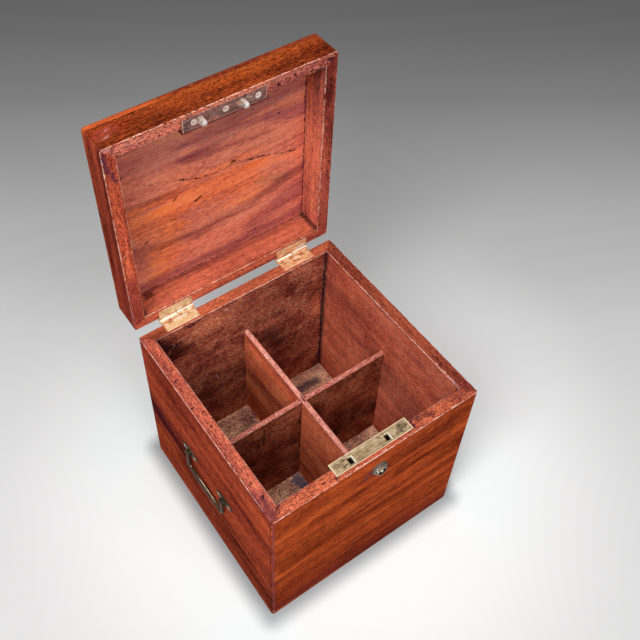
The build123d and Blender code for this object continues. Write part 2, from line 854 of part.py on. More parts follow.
os.makedirs("parts", exist_ok=True)
for name, shape in nodes.items():
    export_step(shape, os.path.join("parts", name + ".step"))

print("pivot", pivot_y, pivot_z)
print("barrel axis", barrel_x, barrel_z, "bolt travel", round(bolt_travel, 4))
print("handle pivot", -half_width - handle_pivot_standoff, handle_pivot_height)
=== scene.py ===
import json
import math
import bpy
from mathutils import Matrix, Vector

# Looks for the mahogany decanter box. Metres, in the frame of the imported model.

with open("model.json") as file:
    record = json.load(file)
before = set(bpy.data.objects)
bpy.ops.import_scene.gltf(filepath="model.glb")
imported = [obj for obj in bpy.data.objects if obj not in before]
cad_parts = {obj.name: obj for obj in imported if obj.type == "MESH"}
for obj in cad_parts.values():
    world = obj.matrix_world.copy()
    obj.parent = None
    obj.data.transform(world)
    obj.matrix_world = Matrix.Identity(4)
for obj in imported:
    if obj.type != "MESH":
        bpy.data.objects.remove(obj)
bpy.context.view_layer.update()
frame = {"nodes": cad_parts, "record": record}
nodes = frame["nodes"]

# Sizes that the materials need, in metres
HALF_W = 0.1145
HALF_D = 0.115
TOP = 0.211
BOARD = 0.0127
INNER_W = HALF_W - BOARD
INNER_D = HALF_D - BOARD
DIVIDER_TOP = 0.151
LID_FACE = 0.12005
LID_PANEL = 0.14755
LID_BACK = 0.15405
LID_LOW = 0.21605
LID_HIGH = 0.44605
LID_MID = (LID_LOW + LID_HIGH) / 2

# Where a look starts and where it is full, in metres from a face, and the soft edge of a ring
RIM_FADE = (0.0009, 0.0003)
INSIDE_FADE = (0.0012, 0.0006)
PANEL_FADE = (0.0008, 0.0004)
DIVIDER_FADE = (0.0030, 0.0014)
RING_EDGE = 0.00025

# Planes that marks lie in: an axis, and a place on it in millimetres
FRONT = (1, -115)
LEFT = (0, -114.5)
RIM = (2, 211)
IN_RIGHT = (0, 101.8)
IN_BACK = (1, 102.3)
CELL_FLOOR = (2, 6)
LONG_FACE = (0, -2.8)
CROSS_FACE = (1, -2.8)
DIVIDER_EDGE = (2, 151)
LID_RIM = (1, 120)
LID_EDGE = (2, 446)
LID_IN_BACK = (2, 228.8)
PANEL = (1, 147.5)
LID_TOP = (1, 153)
LINK_PLATE = (1, 120.2)

# Kinds of marks on the wood
PAINT = "paint"
STAIN = "stain"
SHADE = "shade"

# Tints of marks: factors for shades, display values for stains and paint
DARK = (0.42, 0.36, 0.44)
DUSK = (0.62, 0.56, 0.78)
GLOW = (1.35, 1.55, 1.3)
INK = (44, 26, 36)
SOOT = (40, 16, 14)
MAUVE = (138, 76, 86)
PALE = (232, 176, 158)
# Tints for painted highlights on the metal's edges, then for dirt on the metal
EDGE_HIGHLIGHT = (255, 236, 196)
GLEAM = (255, 246, 226)
DIRT = (70, 52, 44)


def srgb(r, g, b):
    """A linear colour from display values of 0 to 255."""
    linear = []
    for v in (r, g, b):
        v = v / 255
        linear.append(v / 12.92 if v <= 0.04045 else ((v + 0.055) / 1.055) ** 2.4)
    return (*linear, 1.0)


class Shader:
    """Builds one node material, with its long noises drawn out along the grain."""

    def __init__(self, name, grain="x"):
        self.grain = grain
        self.material = bpy.data.materials.new(name)
        self.material.use_nodes = True
        self.tree = self.material.node_tree
        self.tree.nodes.clear()
        output = self.new("ShaderNodeOutputMaterial")
        self.surface = self.new("ShaderNodeBsdfPrincipled")
        self.tree.links.new(self.surface.outputs[0], output.inputs["Surface"])
        self.here = self.new("ShaderNodeTexCoord").outputs["Object"]
        split = self.new("ShaderNodeSeparateXYZ")
        self.put(split.inputs[0], self.here)
        self.x, self.y, self.z = split.outputs

    def new(self, kind, **settings):
        """A new node with its settings."""
        node = self.tree.nodes.new(kind)
        for key, value in settings.items():
            setattr(node, key, value)
        return node

    def put(self, socket, value):
        """Links a socket to another, or gives it a value."""
        if isinstance(value, bpy.types.NodeSocket):
            self.tree.links.new(value, socket)
        else:
            socket.default_value = value

    def math(self, operation, a, b=0.0, c=0.0):
        """Arithmetic on numbers."""
        node = self.new("ShaderNodeMath", operation=operation)
        for socket, value in zip(node.inputs, (a, b, c)):
            self.put(socket, value)
        return node.outputs[0]

    def vector(self, operation, a, b=(0, 0, 0)):
        """Arithmetic on vectors."""
        node = self.new("ShaderNodeVectorMath", operation=operation)
        self.put(node.inputs[0], a)
        self.put(node.inputs[1], b)
        return node.outputs["Value" if operation in ("LENGTH", "DOT_PRODUCT") else "Vector"]

    def times(self, a, amount):
        """A vector times a number."""
        node = self.new("ShaderNodeVectorMath", operation="SCALE")
        self.put(node.inputs[0], a)
        self.put(node.inputs["Scale"], amount)
        return node.outputs["Vector"]

    def stretched(self, scale, shift, where=None):
        """Places moved by a shift and scaled, alike or as a pair along and across the grain."""
        along, across = scale if isinstance(scale, tuple) else (scale, scale)
        moved = self.vector("ADD", where or self.here, (shift, shift * 0.7, shift * 1.3))
        return self.vector("MULTIPLY", moved, [along if axis == self.grain else across for axis in "xyz"])

    def noise_at(self, where, detail, roughness=0.55, distortion=0.0, colour=False):
        """Noise at places that are already scaled."""
        node = self.new("ShaderNodeTexNoise")
        self.put(node.inputs["Vector"], where)
        node.inputs["Scale"].default_value = 1.0
        node.inputs["Detail"].default_value = detail
        node.inputs["Roughness"].default_value = roughness
        node.inputs["Distortion"].default_value = distortion
        return node.outputs["Color" if colour else 0]

    def noise(self, scale, shift, *look, where=None, colour=False):
        """Noise of one scale, or of a pair of them along and across the grain."""
        return self.noise_at(self.stretched(scale, shift, where), *look, colour=colour)

    def wander(self, scale, shift, *look, reach):
        """Places that a noise moves to and fro."""
        offset = self.vector("SUBTRACT", self.noise(scale, shift, *look, colour=True), (0.5, 0.5, 0.5))
        return self.vector("ADD", self.here, self.times(offset, reach))

    def step(self, value, low, high, out_low=0.0, out_high=1.0):
        """A smooth step from out_low at low to out_high at high."""
        node = self.new("ShaderNodeMapRange", interpolation_type="SMOOTHSTEP")
        self.put(node.inputs["Value"], value)
        flip = low > high
        ends = (high, low, out_high, out_low) if flip else (low, high, out_low, out_high)
        for key, end in zip(("From Min", "From Max", "To Min", "To Max"), ends):
            node.inputs[key].default_value = end
        return node.outputs[0]

    def mix(self, share, a, b, blend="MIX"):
        """Colour a with colour b laid over it by a share."""
        node = self.new("ShaderNodeMix", data_type="RGBA", blend_type=blend, clamp_factor=True)
        self.put(node.inputs["Factor"], share)
        colours = {socket.name: socket for socket in node.inputs if socket.type == "RGBA"}
        self.put(colours["A"], a)
        self.put(colours["B"], b)
        return [socket for socket in node.outputs if socket.type == "RGBA"][0]

    def ramp(self, share, *stops):
        """Colours at places from 0 to 1."""
        node = self.new("ShaderNodeValToRGB")
        self.put(node.inputs[0], share)
        elements = node.color_ramp.elements
        while len(elements) < len(stops):
            elements.new(0.5)
        for element, (place, colour) in zip(elements, stops):
            element.position = place
            element.color = colour
        return node.outputs[0]

    def fold(self, operation, values):
        """One value from several, two at a time."""
        result = values[0]
        for value in values[1:]:
            result = self.math(operation, result, value)
        return result

    def both(self, *values):
        """The product of several masks."""
        return self.fold("MULTIPLY", values)

    def most(self, *values):
        """The largest of several values."""
        return self.fold("MAXIMUM", values)

    def least(self, *values):
        """The smallest of several values."""
        return self.fold("MINIMUM", values)

    def moved(self, value, noise, weight):
        """A value moved by a noise times its weight."""
        return self.math("MULTIPLY_ADD", noise, weight, value)

    def gap(self, value, place):
        """Distance along one axis from a plane."""
        return self.math("ABSOLUTE", self.math("SUBTRACT", value, place))

    def arris(self, a, b, c):
        """Distance from the nearest edge, given the distances from three pairs of faces."""
        return self.most(self.least(a, b), self.least(self.most(a, b), c))

    def near(self, a, b, where=None):
        """Distance from the line between two points, in metres."""
        a, b = Vector(a), Vector(b)
        span = b - a
        offset = self.vector("SUBTRACT", where or self.here, tuple(a))
        if span.length < 1e-6:
            return self.vector("LENGTH", offset)
        clamp = self.new("ShaderNodeClamp")
        along = self.vector("DOT_PRODUCT", offset, tuple(span / span.length_squared))
        self.put(clamp.inputs["Value"], along)
        nearest = self.times(tuple(span), clamp.outputs[0])
        return self.vector("LENGTH", self.vector("SUBTRACT", offset, nearest))

    def from_path(self, points, where=None):
        """Distance in metres from a path through points in millimetres."""
        points = [[v / 1000 for v in point] for point in points]
        spans = list(zip(points, points[1:])) or [(points[0], points[0])]
        return self.least(*[self.near(a, b, where) for a, b in spans])

    def bump(self, height, strength, distance):
        """Fine relief, drawn by the shading."""
        node = self.new("ShaderNodeBump")
        node.inputs["Strength"].default_value = strength
        node.inputs["Distance"].default_value = distance
        self.put(node.inputs["Height"], height)
        self.put(self.surface.inputs["Normal"], node.outputs[0])

    def finish(self, colour, roughness, metal=0.0, specular=0.5):
        """The material, once its surface is set."""
        s = self.surface.inputs
        self.put(s["Base Color"], colour)
        self.put(s["Roughness"], roughness)
        self.put(s["Metallic"], metal)
        s["Specular IOR Level"].default_value = specular
        return self.material


def zones(s, part):
    """Masks of the inside and the rim of the case or the open lid, and distances from its faces."""
    wide = s.math("ABSOLUTE", s.x)
    if part == "case":
        deep = s.math("ABSOLUTE", s.y)
        height = s.z
        meeting, far, into = TOP, 0, -1
    else:
        deep = s.gap(s.z, LID_MID)
        height = s.y
        meeting, far, into = LID_FACE, LID_BACK, 1
    face = s.gap(height, meeting)
    side = s.least(s.gap(wide, HALF_W), s.gap(deep, HALF_D))
    ends = s.least(face, s.gap(height, far))
    outer_edge = s.arris(s.gap(wide, HALF_W), s.gap(deep, HALF_D), ends)
    in_x = s.math("SUBTRACT", wide, INNER_W)
    in_y = s.math("SUBTRACT", deep, INNER_D)
    inside = s.both(s.step(in_x, *INSIDE_FADE), s.step(in_y, *INSIDE_FADE))
    if part == "lid":
        inside = s.both(inside, s.step(height, *[LID_PANEL + fade for fade in PANEL_FADE]))
    rim = s.step(height, *[meeting + into * fade for fade in RIM_FADE])
    return face, side, outer_edge, in_x, in_y, inside, rim


class Wood(Shader):
    """Old mahogany. It keeps the noises that its layers share, and the colour as it grows."""

    # Bare wood along the arrises, partly a painted highlight
    arris_wear_and_highlight = {"case": (176, 96, 84), "lid": (206, 122, 70)}

    def __init__(self, name, grain, seed, rough, speckle):
        super().__init__(name, grain)
        self.seed = seed
        self.rough = rough
        self.speckle = speckle
        self.colour = None
        wavy = self.wander((6, 11), seed, 2.0, reach=0.014)
        bands = self.noise((2.6, 52), seed, 3.0, 0.5, 0.4, where=wavy)
        fine = self.noise((150, 1100), seed, 2.0, 0.6)
        cloud = self.noise((10, 16), seed + 3, 2.0, 0.5)
        streaky = self.noise((10, 120), seed + 4, 3.0, 0.55)
        fleck = self.noise((340, 760), seed + 8, 2.0, 0.5)
        self.lines = self.noise((14, 300), seed, 3.0, 0.6, where=wavy)
        self.mottle = self.noise((170, 300), seed, 3.0, 0.65)
        self.ragged = self.noise((170, 420), seed + 1, 3.0, 0.6)
        self.patchy = self.noise(38, seed + 6, 5.0, 0.62)
        self.grit = self.noise(620, seed + 7, 2.0, 0.6)
        self.dust = self.noise(1050, seed + 9, 1.0, 0.5)
        layers = [(bands, 0.55), (self.lines, 0.34), (fine, 0.5), (self.mottle, 0.34), (cloud, 0.4)]
        self.share = self.shifted(0.5, *layers, (self.dust, 0.3 * speckle))
        layers = [(self.dust, 0.6 * speckle), (self.grit, 0.8 * rough * speckle)]
        self.speckled = self.shifted(self.share, *layers)
        self.loose = self.shifted(0.0, (self.ragged, 0.75), (self.grit, 0.6))
        self.along_grain = self.math("SUBTRACT", streaky, 0.5)
        self.dark_flecks = self.step(fleck, 0.53, 0.63)

    def shifted(self, value, *layers):
        """The value moved by noises round a half, each with its weight."""
        for layer, weight in layers:
            value = self.moved(value, self.math("SUBTRACT", layer, 0.5), weight)
        return value

    def palette(self, share, look):
        """Four shades of one wood, dark to light. A look is a colour and a contrast."""
        colour, contrast = look
        shades = [(0.40, 0.34, 0.46), (0.80, 0.76, 0.80), (1.09, 1.12, 1.08), (1.28, 1.42, 1.34)]
        stops = []
        for place, shade in zip((0.24, 0.42, 0.58, 0.78), shades):
            values = [v * (1 + (k - 1) * contrast) for v, k in zip(colour, shade)]
            stops.append((place, srgb(*[min(v, 250) for v in values])))
        return self.ramp(share, *stops)

    def lay(self, share, colour, blend="MIX"):
        """Lays a colour over what is there."""
        self.colour = self.mix(share, self.colour, colour, blend)

    def tinge(self, share, strength, tint):
        """Draws the colour towards a tint by a strength, where the share says."""
        self.lay(share, self.mix(strength, self.colour, srgb(*tint)))

    def plain_faces(self, outer, top_look):
        """A divider or the bottom, with a paler top edge. Returns its inside, rough part and flecks."""
        self.colour = self.palette(self.shifted(self.speckled, (self.patchy, 0.7 * self.rough)), outer)
        top = self.step(self.z, *[DIVIDER_TOP - fade for fade in DIVIDER_FADE])
        self.lay(top, self.palette(self.speckled, top_look))
        worn = self.both(top, self.step(self.shifted(self.ragged, (self.grit, 0.5)), 0.5, 0.6))
        self.lay(self.both(worn, 0.4), srgb(248, 190, 168))
        return self.math("SUBTRACT", 1.0, top), top, self.both(self.dark_flecks, 0.3)

    def board_faces(self, part, outer, rim_look, inner, flecks):
        """A board of the case or the lid. Returns its inside, rough part and flecks."""
        face, side, outer_edge, in_x, in_y, inside, rim = zones(self, part)
        self.colour = self.palette(self.share, outer)
        inner_share = self.shifted(self.speckled, (self.patchy, 0.7 * self.rough))
        self.lay(inside, self.palette(inner_share, inner))
        rim_share = self.shifted(self.share, (self.dust, 0.35 * self.speckle), (self.grit, 0.2))
        self.lay(rim, self.palette(rim_share, rim_look))
        inner_edge = self.most(self.math("ABSOLUTE", self.most(in_x, in_y)), face)
        edge = self.least(outer_edge, inner_edge)
        in_corner = self.most(self.math("ABSOLUTE", in_x), self.math("ABSOLUTE", in_y))
        self.darken_corners_and_edges(in_corner, edge, inside)
        self.wear_and_highlight_arrises(part, edge, self.least(inner_edge, self.most(face, side)))
        return inside, self.most(inside, rim), self.both(self.dark_flecks, self.moved(flecks, rim, 0.35))

    def darken_corners_and_edges(self, in_corner, edge, inside):
        """Darker inner corners, and dirt beside the edges."""
        corner = self.step(self.moved(in_corner, self.loose, 0.006), 0.0055, 0.0012)
        self.lay(self.both(corner, inside, 0.75), srgb(52, 22, 28))
        beside = self.step(self.moved(edge, self.loose, 0.007), 0.0034, 0.0008)
        self.lay(self.both(beside, self.step(self.mottle, 0.42, 0.6), 0.5), srgb(58, 22, 26))

    def wear_and_highlight_arrises(self, part, edge, rim_edge):
        """Arrises worn bare and lightened by a painted highlight, palest round the rim."""
        breaks = self.noise(70, self.seed + 2, 3.0, 0.6)
        kept = self.step(self.shifted(breaks, (self.grit, 0.3)), 0.38, 0.48)
        dull = self.step(self.moved(edge, self.loose, 0.0034), 0.0012, 0.0003)
        self.lay(self.both(dull, kept, 0.6), srgb(*self.arris_wear_and_highlight[part]))
        # A painted highlight along the arrises round the rim, broken in places
        bright = self.step(self.moved(rim_edge, self.loose, 0.0026), 0.00085, 0.00025)
        self.lay(self.both(bright, kept, 0.85), srgb(250, 190, 172))

    def strokes(self, inside):
        """Short pale and dark strokes both ways, left by the plane and by the bottles."""
        level = self.math("ADD", self.x, self.y)
        rise = self.math("MULTIPLY", self.math("ADD", level, self.z), 0.7)
        fall = self.math("MULTIPLY", self.math("SUBTRACT", level, self.z), 0.7)
        pale = []
        deep = []
        for long_way, short_way in ((rise, fall), (fall, rise)):
            slanted = self.new("ShaderNodeCombineXYZ")
            self.put(slanted.inputs[0], self.math("MULTIPLY", long_way, 130))
            self.put(slanted.inputs[1], self.math("MULTIPLY", short_way, 640))
            stroke = self.noise_at(slanted.outputs[0], 2.0, 0.6)
            pale.append(self.step(stroke, 0.53, 0.64))
            deep.append(self.step(stroke, 0.47, 0.36))
        where = self.both(self.most(*pale), self.step(self.patchy, 0.4, 0.58), inside, 0.75 * self.rough)
        self.tinge(where, 0.7, (240, 176, 132))
        where = self.both(self.most(*deep), self.step(self.patchy, 0.6, 0.44), inside, 0.7 * self.rough)
        self.tinge(where, 0.6, (36, 12, 8))

    def dent(self):
        """Small dents filled with dirt, and pale specks. Returns the mask of the dents."""
        cells = self.new("ShaderNodeTexVoronoi", feature="F1")
        self.put(cells.inputs["Vector"], self.stretched(105, self.seed))
        cells.inputs["Scale"].default_value = 1.0
        pick = self.new("ShaderNodeSeparateColor")
        self.put(pick.inputs[0], cells.outputs["Color"])
        distance = self.moved(cells.outputs["Distance"], self.loose, 0.3)
        dents = self.both(self.step(distance, 0.16, 0.09), self.step(pick.outputs[0], 0.92, 0.94))
        specks = self.both(self.step(distance, 0.1, 0.06), self.step(pick.outputs[1], 0.88, 0.9))
        self.lay(self.both(dents, 0.7), srgb(46, 20, 24))
        self.lay(self.both(specks, 0.65), srgb(214, 150, 126))
        return dents

    def add_marks(self, marks):
        """Paint has a ragged edge, a stain fades out, and a shade follows the grain."""
        jittered = self.wander(210, self.seed, 2.0, 0.6, reach=0.005)
        for kind, points, radius, tint, amount in marks:
            away = self.from_path(points, jittered if kind == PAINT else self.here)
            radius = radius / 1000
            if kind == PAINT:
                mask = self.step(self.moved(away, self.loose, radius * 2.2), radius, radius * 0.45)
                self.lay(self.both(mask, amount), srgb(*tint))
            elif kind == STAIN:
                away = self.moved(self.moved(away, self.loose, radius), self.along_grain, radius)
                self.lay(self.both(self.step(away, radius, 0.0), amount), srgb(*tint))
            else:
                mask = self.step(self.moved(away, self.along_grain, radius * 2.4), radius, radius * 0.1)
                self.lay(self.both(mask, amount), (*tint, 1.0), "MULTIPLY")


def wood(name, grain, part, seed, outer, rim_look, inner, marks, pore_share, flecks, rough, speckle):
    """One board. Each look is a colour and a contrast."""
    s = Wood(name + "_wood", grain, seed, rough, speckle)
    if part == "plain":
        inside, rough_part, fleck_share = s.plain_faces(outer, rim_look)
    else:
        inside, rough_part, fleck_share = s.board_faces(part, outer, rim_look, inner, flecks)
    s.tinge(fleck_share, 0.75, (30, 6, 6))
    pores = s.noise((150, 900), seed + 5, 2.0, 0.5)
    dark_pores = s.both(s.step(pores, 0.64 - 0.16 * pore_share, 0.74 - 0.16 * pore_share), 0.6)
    s.tinge(dark_pores, 0.72, (20, 4, 2))
    if rough:
        s.strokes(inside)
    dents = s.dent()
    s.add_marks(marks)
    height = s.moved(s.math("MULTIPLY", s.mottle, 0.5), s.lines, 0.5)
    for hollow, depth in ((dark_pores, 0.5), (fleck_share, 0.4), (dents, 1.2)):
        height = s.math("SUBTRACT", height, s.math("MULTIPLY", hollow, depth))
    s.bump(height, 0.4, 0.0006)
    roughness = s.moved(s.moved(0.34, s.mottle, 0.24), rough_part, 0.14)
    return s.finish(s.colour, roughness, specular=0.0)


def dress(node, material):
    """Gives a CAD node its material, in the slot that it has."""
    mesh = nodes[node].data
    if mesh.materials:
        nodes[node].material_slots[0].material = material
    else:
        mesh.materials.append(material)


def on(plane, marks):
    """Marks drawn in one plane, with the place on the plane's own axis put into each point."""
    axis, place = plane
    placed = []
    for *kind, points, radius, tint, amount in marks:
        points = [(*point[:axis], place, *point[axis:]) for point in points]
        placed.append((*kind, points, radius, tint, amount))
    return placed


# Marks on the wood: kind, points in millimetres, radius, tint and amount
front_marks = on(FRONT, [
    (SHADE, [(-100, 98), (-27, 103), (39, 92), (112, 96)], 13, DARK, 0.75),
    (SHADE, [(-70, 162), (-12, 156)], 9, DARK, 0.65),
    (SHADE, [(28, 152), (112, 134)], 12, DARK, 0.7),
    (SHADE, [(-108, 143), (-60, 138)], 7, DARK, 0.5),
    (SHADE, [(-111, 172), (-31, 178)], 9, GLOW, 0.5),
    (SHADE, [(-112, 124), (-30, 128), (40, 126)], 11, GLOW, 0.55),
    (SHADE, [(-108, 86), (-60, 85)], 9, GLOW, 0.6),
    (SHADE, [(-5, 84), (50, 78)], 8, GLOW, 0.6),
    # Darker towards the bottom: painted shade, partly the wood's own tone
    (SHADE, [(-120, 16), (120, 16)], 46, (0.6, 0.54, 0.8), 0.9),
    (STAIN, [(-10, 188), (-13.5, 178)], 5.5, (122, 66, 80), 0.6),
    (STAIN, [(-108, 12), (108, 12)], 10, (96, 40, 44), 0.5),
    (PAINT, [(35, 195), (36.6, 197.3), (38.6, 196)], 0.7, PALE, 0.9),
    (PAINT, [(66, 123), (70, 123)], 0.8, SOOT, 0.6),
    (PAINT, [(-98, 48)], 1.2, PALE, 0.8),
    (PAINT, [(-49, 45)], 0.9, PALE, 0.6),
    (PAINT, [(-42, 88)], 1.4, SOOT, 0.7),
])
front_marks += on(RIM, [
    (PAINT, [(42.2, -110), (42.6, -101)], 1.7, (58, 30, 52), 0.85),
    (PAINT, [(6, -111.2), (26, -111.4), (40, -111.2)], 1.0, (64, 34, 56), 0.75),
    (PAINT, [(-106, -105.4), (-100, -103.6)], 2.2, INK, 0.6),
    (PAINT, [(-96, -103), (-78, -103)], 1.2, (84, 30, 30), 0.6),
    (PAINT, [(-59.6, -108.5), (-57, -109.5)], 1.3, INK, 0.8),
    (PAINT, [(-47, -110.5), (-44, -111.5)], 1.2, INK, 0.8),
    (PAINT, [(44, -101), (52, -105), (64, -109)], 4.5, (70, 30, 40), 0.6),
    (PAINT, [(-27, -113.6), (-18, -113.8)], 0.7, PALE, 0.8),
    (PAINT, [(-8, -114.6), (2, -114.6)], 0.9, PALE, 0.8),
    (PAINT, [(4, -113.4), (7, -112.6)], 0.8, PALE, 0.8),
    (PAINT, [(61, -114.8), (65, -114.8)], 0.9, PALE, 0.8),
    (PAINT, [(83, -114.6), (88, -114.6)], 0.9, PALE, 0.8),
    (STAIN, [(-112, -112), (-103, -106)], 5, (70, 34, 44), 0.4),
    (SHADE, [(-98, -108), (-50, -110)], 9, (1.2, 1.25, 1.2), 0.9),
    (SHADE, [(50, -108), (106, -109)], 10, (0.88, 0.88, 0.84), 0.9),
    (STAIN, [(-20, -111.4), (20, -112)], 1.8, (214, 96, 66), 0.7),
])
front_marks += [
    # A pinkish painted highlight down the rounded front-left corner
    (PAINT, [(-113.8, -114.6, 12), (-113.8, -114.6, 205)], 2.2, MAUVE, 0.6),
    (PAINT, [(-114, -115, 7)], 2, PALE, 0.7),
]
front_marks += on(RIM, [
    (SHADE, [(-110, -111), (-102, -106)], 8, DUSK, 0.6),
    (SHADE, [(92, -108), (112, -110)], 11, DUSK, 0.8),
])
left_marks = [
    (STAIN, [(-110, -112, 211), (-108, -92, 211)], 5, (78, 38, 48), 0.6),
]
left_marks += on(LEFT, [
    # A dark purple streak towards the handle's back: a stain, partly painted shade
    (STAIN, [(130, 102), (98, 96)], 38, (94, 36, 42), 0.9),
    (STAIN, [(104, 98), (66, 94), (44, 98)], 25, (96, 36, 38), 0.85),
    (SHADE, [(124, 104), (84, 94), (40, 98)], 24, (0.66, 0.56, 0.66), 0.7),
    (SHADE, [(112, 44), (50, 52)], 20, (1.25, 1.25, 0.9), 0.8),
    (SHADE, [(42, 96), (-20, 88)], 11, DARK, 0.7),
    (SHADE, [(60, 60), (20, 62)], 10, DUSK, 0.6),
    (SHADE, [(-10, 30), (-80, 62)], 12, DARK, 0.5),
    (SHADE, [(70, 155), (-13, 172)], 6, DARK, 0.45),
    # Darker low down, in a diagonal band and towards the bottom: painted shade, partly the wood's own tone
    (SHADE, [(-125, 20), (-70, 40), (-30, 62), (46, 76)], 34, (0.46, 0.44, 0.5), 0.9),
    (SHADE, [(-125, 12), (20, 12)], 34, (0.56, 0.52, 0.58), 0.85),
    (SHADE, [(-120, 50), (120, 50)], 70, (0.84, 0.88, 0.88), 1.0),
    (PAINT, [(-111.6, 8), (-111.6, 204)], 0.8, (54, 20, 34), 0.8),
])
left_marks += on(RIM, [
    (PAINT, [(-112, 71), (-109.6, 72.5)], 1.4, INK, 0.85),
    (PAINT, [(-111, 51), (-108, 52)], 1.5, INK, 0.85),
    (PAINT, [(-113, 17), (-111, 18)], 1.2, INK, 0.8),
    (PAINT, [(-108, 8), (-105, 9)], 1.1, INK, 0.8),
    (PAINT, [(-109, -8), (-106.6, -7.5)], 1.3, INK, 0.85),
    (PAINT, [(-110.5, -75), (-108.6, -74)], 1.3, INK, 0.8),
    (PAINT, [(-108.5, -91), (-107, -89)], 1.6, INK, 0.8),
    (SHADE, [(-110, -112), (-108, -86)], 9, DUSK, 0.8),
    (SHADE, [(-112, 112), (-100, 104)], 10, DUSK, 0.8),
])
right_marks = on(RIM, [
    (PAINT, [(103.2, -99), (102.6, -70)], 0.9, PALE, 0.75),
    (SHADE, [(108, -112), (108, -90)], 10, DUSK, 0.8),
])
right_marks += on(IN_RIGHT, [
    (PAINT, [(-2, 3), (-3, 9)], 3.0, (236, 170, 150), 0.8),
    (PAINT, [(27.6, 143), (27.6, 149)], 0.9, SOOT, 0.9),
    # Darker near the back corner, low down at the front and beside the cross divider: painted shade
    (SHADE, [(92, 211), (90, 150)], 12, (0.7, 0.6, 0.7), 0.6),
    (SHADE, [(-70, 100), (-6, 104)], 44, (0.72, 0.76, 0.84), 0.9),
    (STAIN, [(8, 100), (20, 60)], 24, (70, 30, 36), 0.5),
    (SHADE, [(20, 196), (-70, 190)], 30, (0.94, 1.0, 1.12), 0.9),
])
back_marks = on(IN_BACK, [
    (PAINT, [(-66, 206), (-60, 205)], 1.8, INK, 0.85),
    (PAINT, [(52, 207), (56, 206.6)], 1.5, INK, 0.8),
    (SHADE, [(88, 192), (92, 116)], 8, (1.5, 1.5, 1.25), 0.6),
    (SHADE, [(-50, 190), (-30, 194)], 10, (1.3, 1.3, 1.2), 0.6),
    (PAINT, [(101.4, 204), (101.4, 176)], 1.6, (54, 28, 50), 0.6),
    (PAINT, [(101.4, 180), (101.4, 20)], 2.6, (44, 22, 46), 0.8),
    # Darker over the right half and low on the left: painted shade
    (SHADE, [(14, 180), (92, 176)], 44, (0.78, 0.8, 0.84), 0.95),
    (SHADE, [(-62, 92), (-12, 92)], 46, (0.72, 0.74, 0.72), 0.9),
    # Painted shadow in the top-left corner under the rim
    (SHADE, [(-100, 205), (-84, 172)], 22, (0.26, 0.2, 0.22), 0.85),
    (SHADE, [(40, 120), (20, 106), (60, 88)], 24, (0.4, 0.3, 0.3), 0.7),
    (SHADE, [(-92, 176), (-60, 160), (-40, 172)], 14, (0.5, 0.4, 0.4), 0.6),
    (SHADE, [(10, 186), (60, 180)], 14, (0.66, 0.5, 0.52), 0.6),
    (SHADE, [(-92, 200), (-10, 190)], 10, (1.2, 1.2, 1.15), 0.4),
    # More of the painted shadow in the top-left corner
    (STAIN, [(-98, 196), (-84, 186)], 13, (44, 22, 22), 0.75),
    (STAIN, [(28, 124), (44, 100)], 16, (58, 26, 28), 0.6),
    (PAINT, [(-93, 177), (-87, 185)], 0.9, (196, 136, 108), 0.55),
    (PAINT, [(-90, 183), (-82, 190)], 0.8, (196, 136, 108), 0.5),
    (PAINT, [(-84, 191), (-72, 194)], 0.9, (196, 136, 108), 0.55),
    (PAINT, [(-74, 188), (-66, 193)], 0.8, (206, 146, 116), 0.5),
    (PAINT, [(-41, 100), (-38, 92)], 1.4, PALE, 0.5),
    (PAINT, [(-35, 96), (-33, 89)], 1.0, PALE, 0.45),
    (PAINT, [(-24, 204), (-20, 200)], 1.6, PALE, 0.6),
])
long_marks = on(LONG_FACE, [
    (PAINT, [(92, 126), (89, 118)], 0.9, SOOT, 0.9),
    (PAINT, [(101.6, 148), (101.2, 60)], 0.9, (190, 130, 104), 0.6),
    (PAINT, [(-22, 139)], 1.3, SOOT, 0.7),
    # Darker low down and lighter near the top: painted shade and painted light
    (SHADE, [(100, 78), (30, 90)], 16, (0.5, 0.42, 0.45), 0.8),
    (SHADE, [(90, 30), (20, 30)], 40, (0.55, 0.45, 0.45), 0.7),
    (SHADE, [(85, 138), (10, 136)], 16, (1.4, 1.2, 1.2), 0.7),
])
long_marks += on(DIVIDER_EDGE, [
    (PAINT, [(0, 3.4), (0, -3.4)], 1.5, (70, 26, 40), 0.7),
    (PAINT, [(-2.1, 65), (-2.1, 60)], 1.4, (252, 214, 196), 0.8),
    (PAINT, [(0.2, 18), (0.2, 14)], 1.5, (252, 206, 184), 0.7),
])
cross_marks = on(CROSS_FACE, [
    # Darker low down towards the walls: painted shade
    (SHADE, [(-95, 70), (-60, 60)], 40, (0.4, 0.32, 0.34), 0.8),
    (SHADE, [(95, 60), (20, 50)], 36, (0.5, 0.42, 0.44), 0.7),
    (PAINT, [(-20.5, 140), (-19, 139)], 0.8, PALE, 0.6),
    (PAINT, [(-48, 141), (-48.6, 110)], 1.1, SOOT, 0.8),
    (PAINT, [(-3.4, 150), (-3.4, 60)], 1.3, (56, 24, 46), 0.7),
])
cross_marks += [
    (PAINT, [(3.4, 0, 151), (-3.4, 0, 151)], 1.5, (70, 26, 40), 0.6),
]
floor_marks = on(CELL_FLOOR, [
    (PAINT, [(-10, -9), (-6, -24)], 9, (70, 72, 100), 0.85),
    (PAINT, [(-60, -6), (-38, -5)], 8, (150, 86, 70), 0.5),
    (PAINT, [(-24, -24), (-33, -22), (-37, -15), (-33, -9)], 0.9, SOOT, 0.8),
    (PAINT, [(-14, 84), (-34, 70), (-20, 66)], 8, (86, 46, 50), 0.45),
    (STAIN, [(60, 86), (84, 84)], 10, (70, 50, 64), 0.85),
    (PAINT, [(99, -5), (95, -8)], 2.2, (250, 196, 176), 0.8),
    (PAINT, [(46, 70), (40, 84)], 9, (120, 62, 54), 0.5),
])
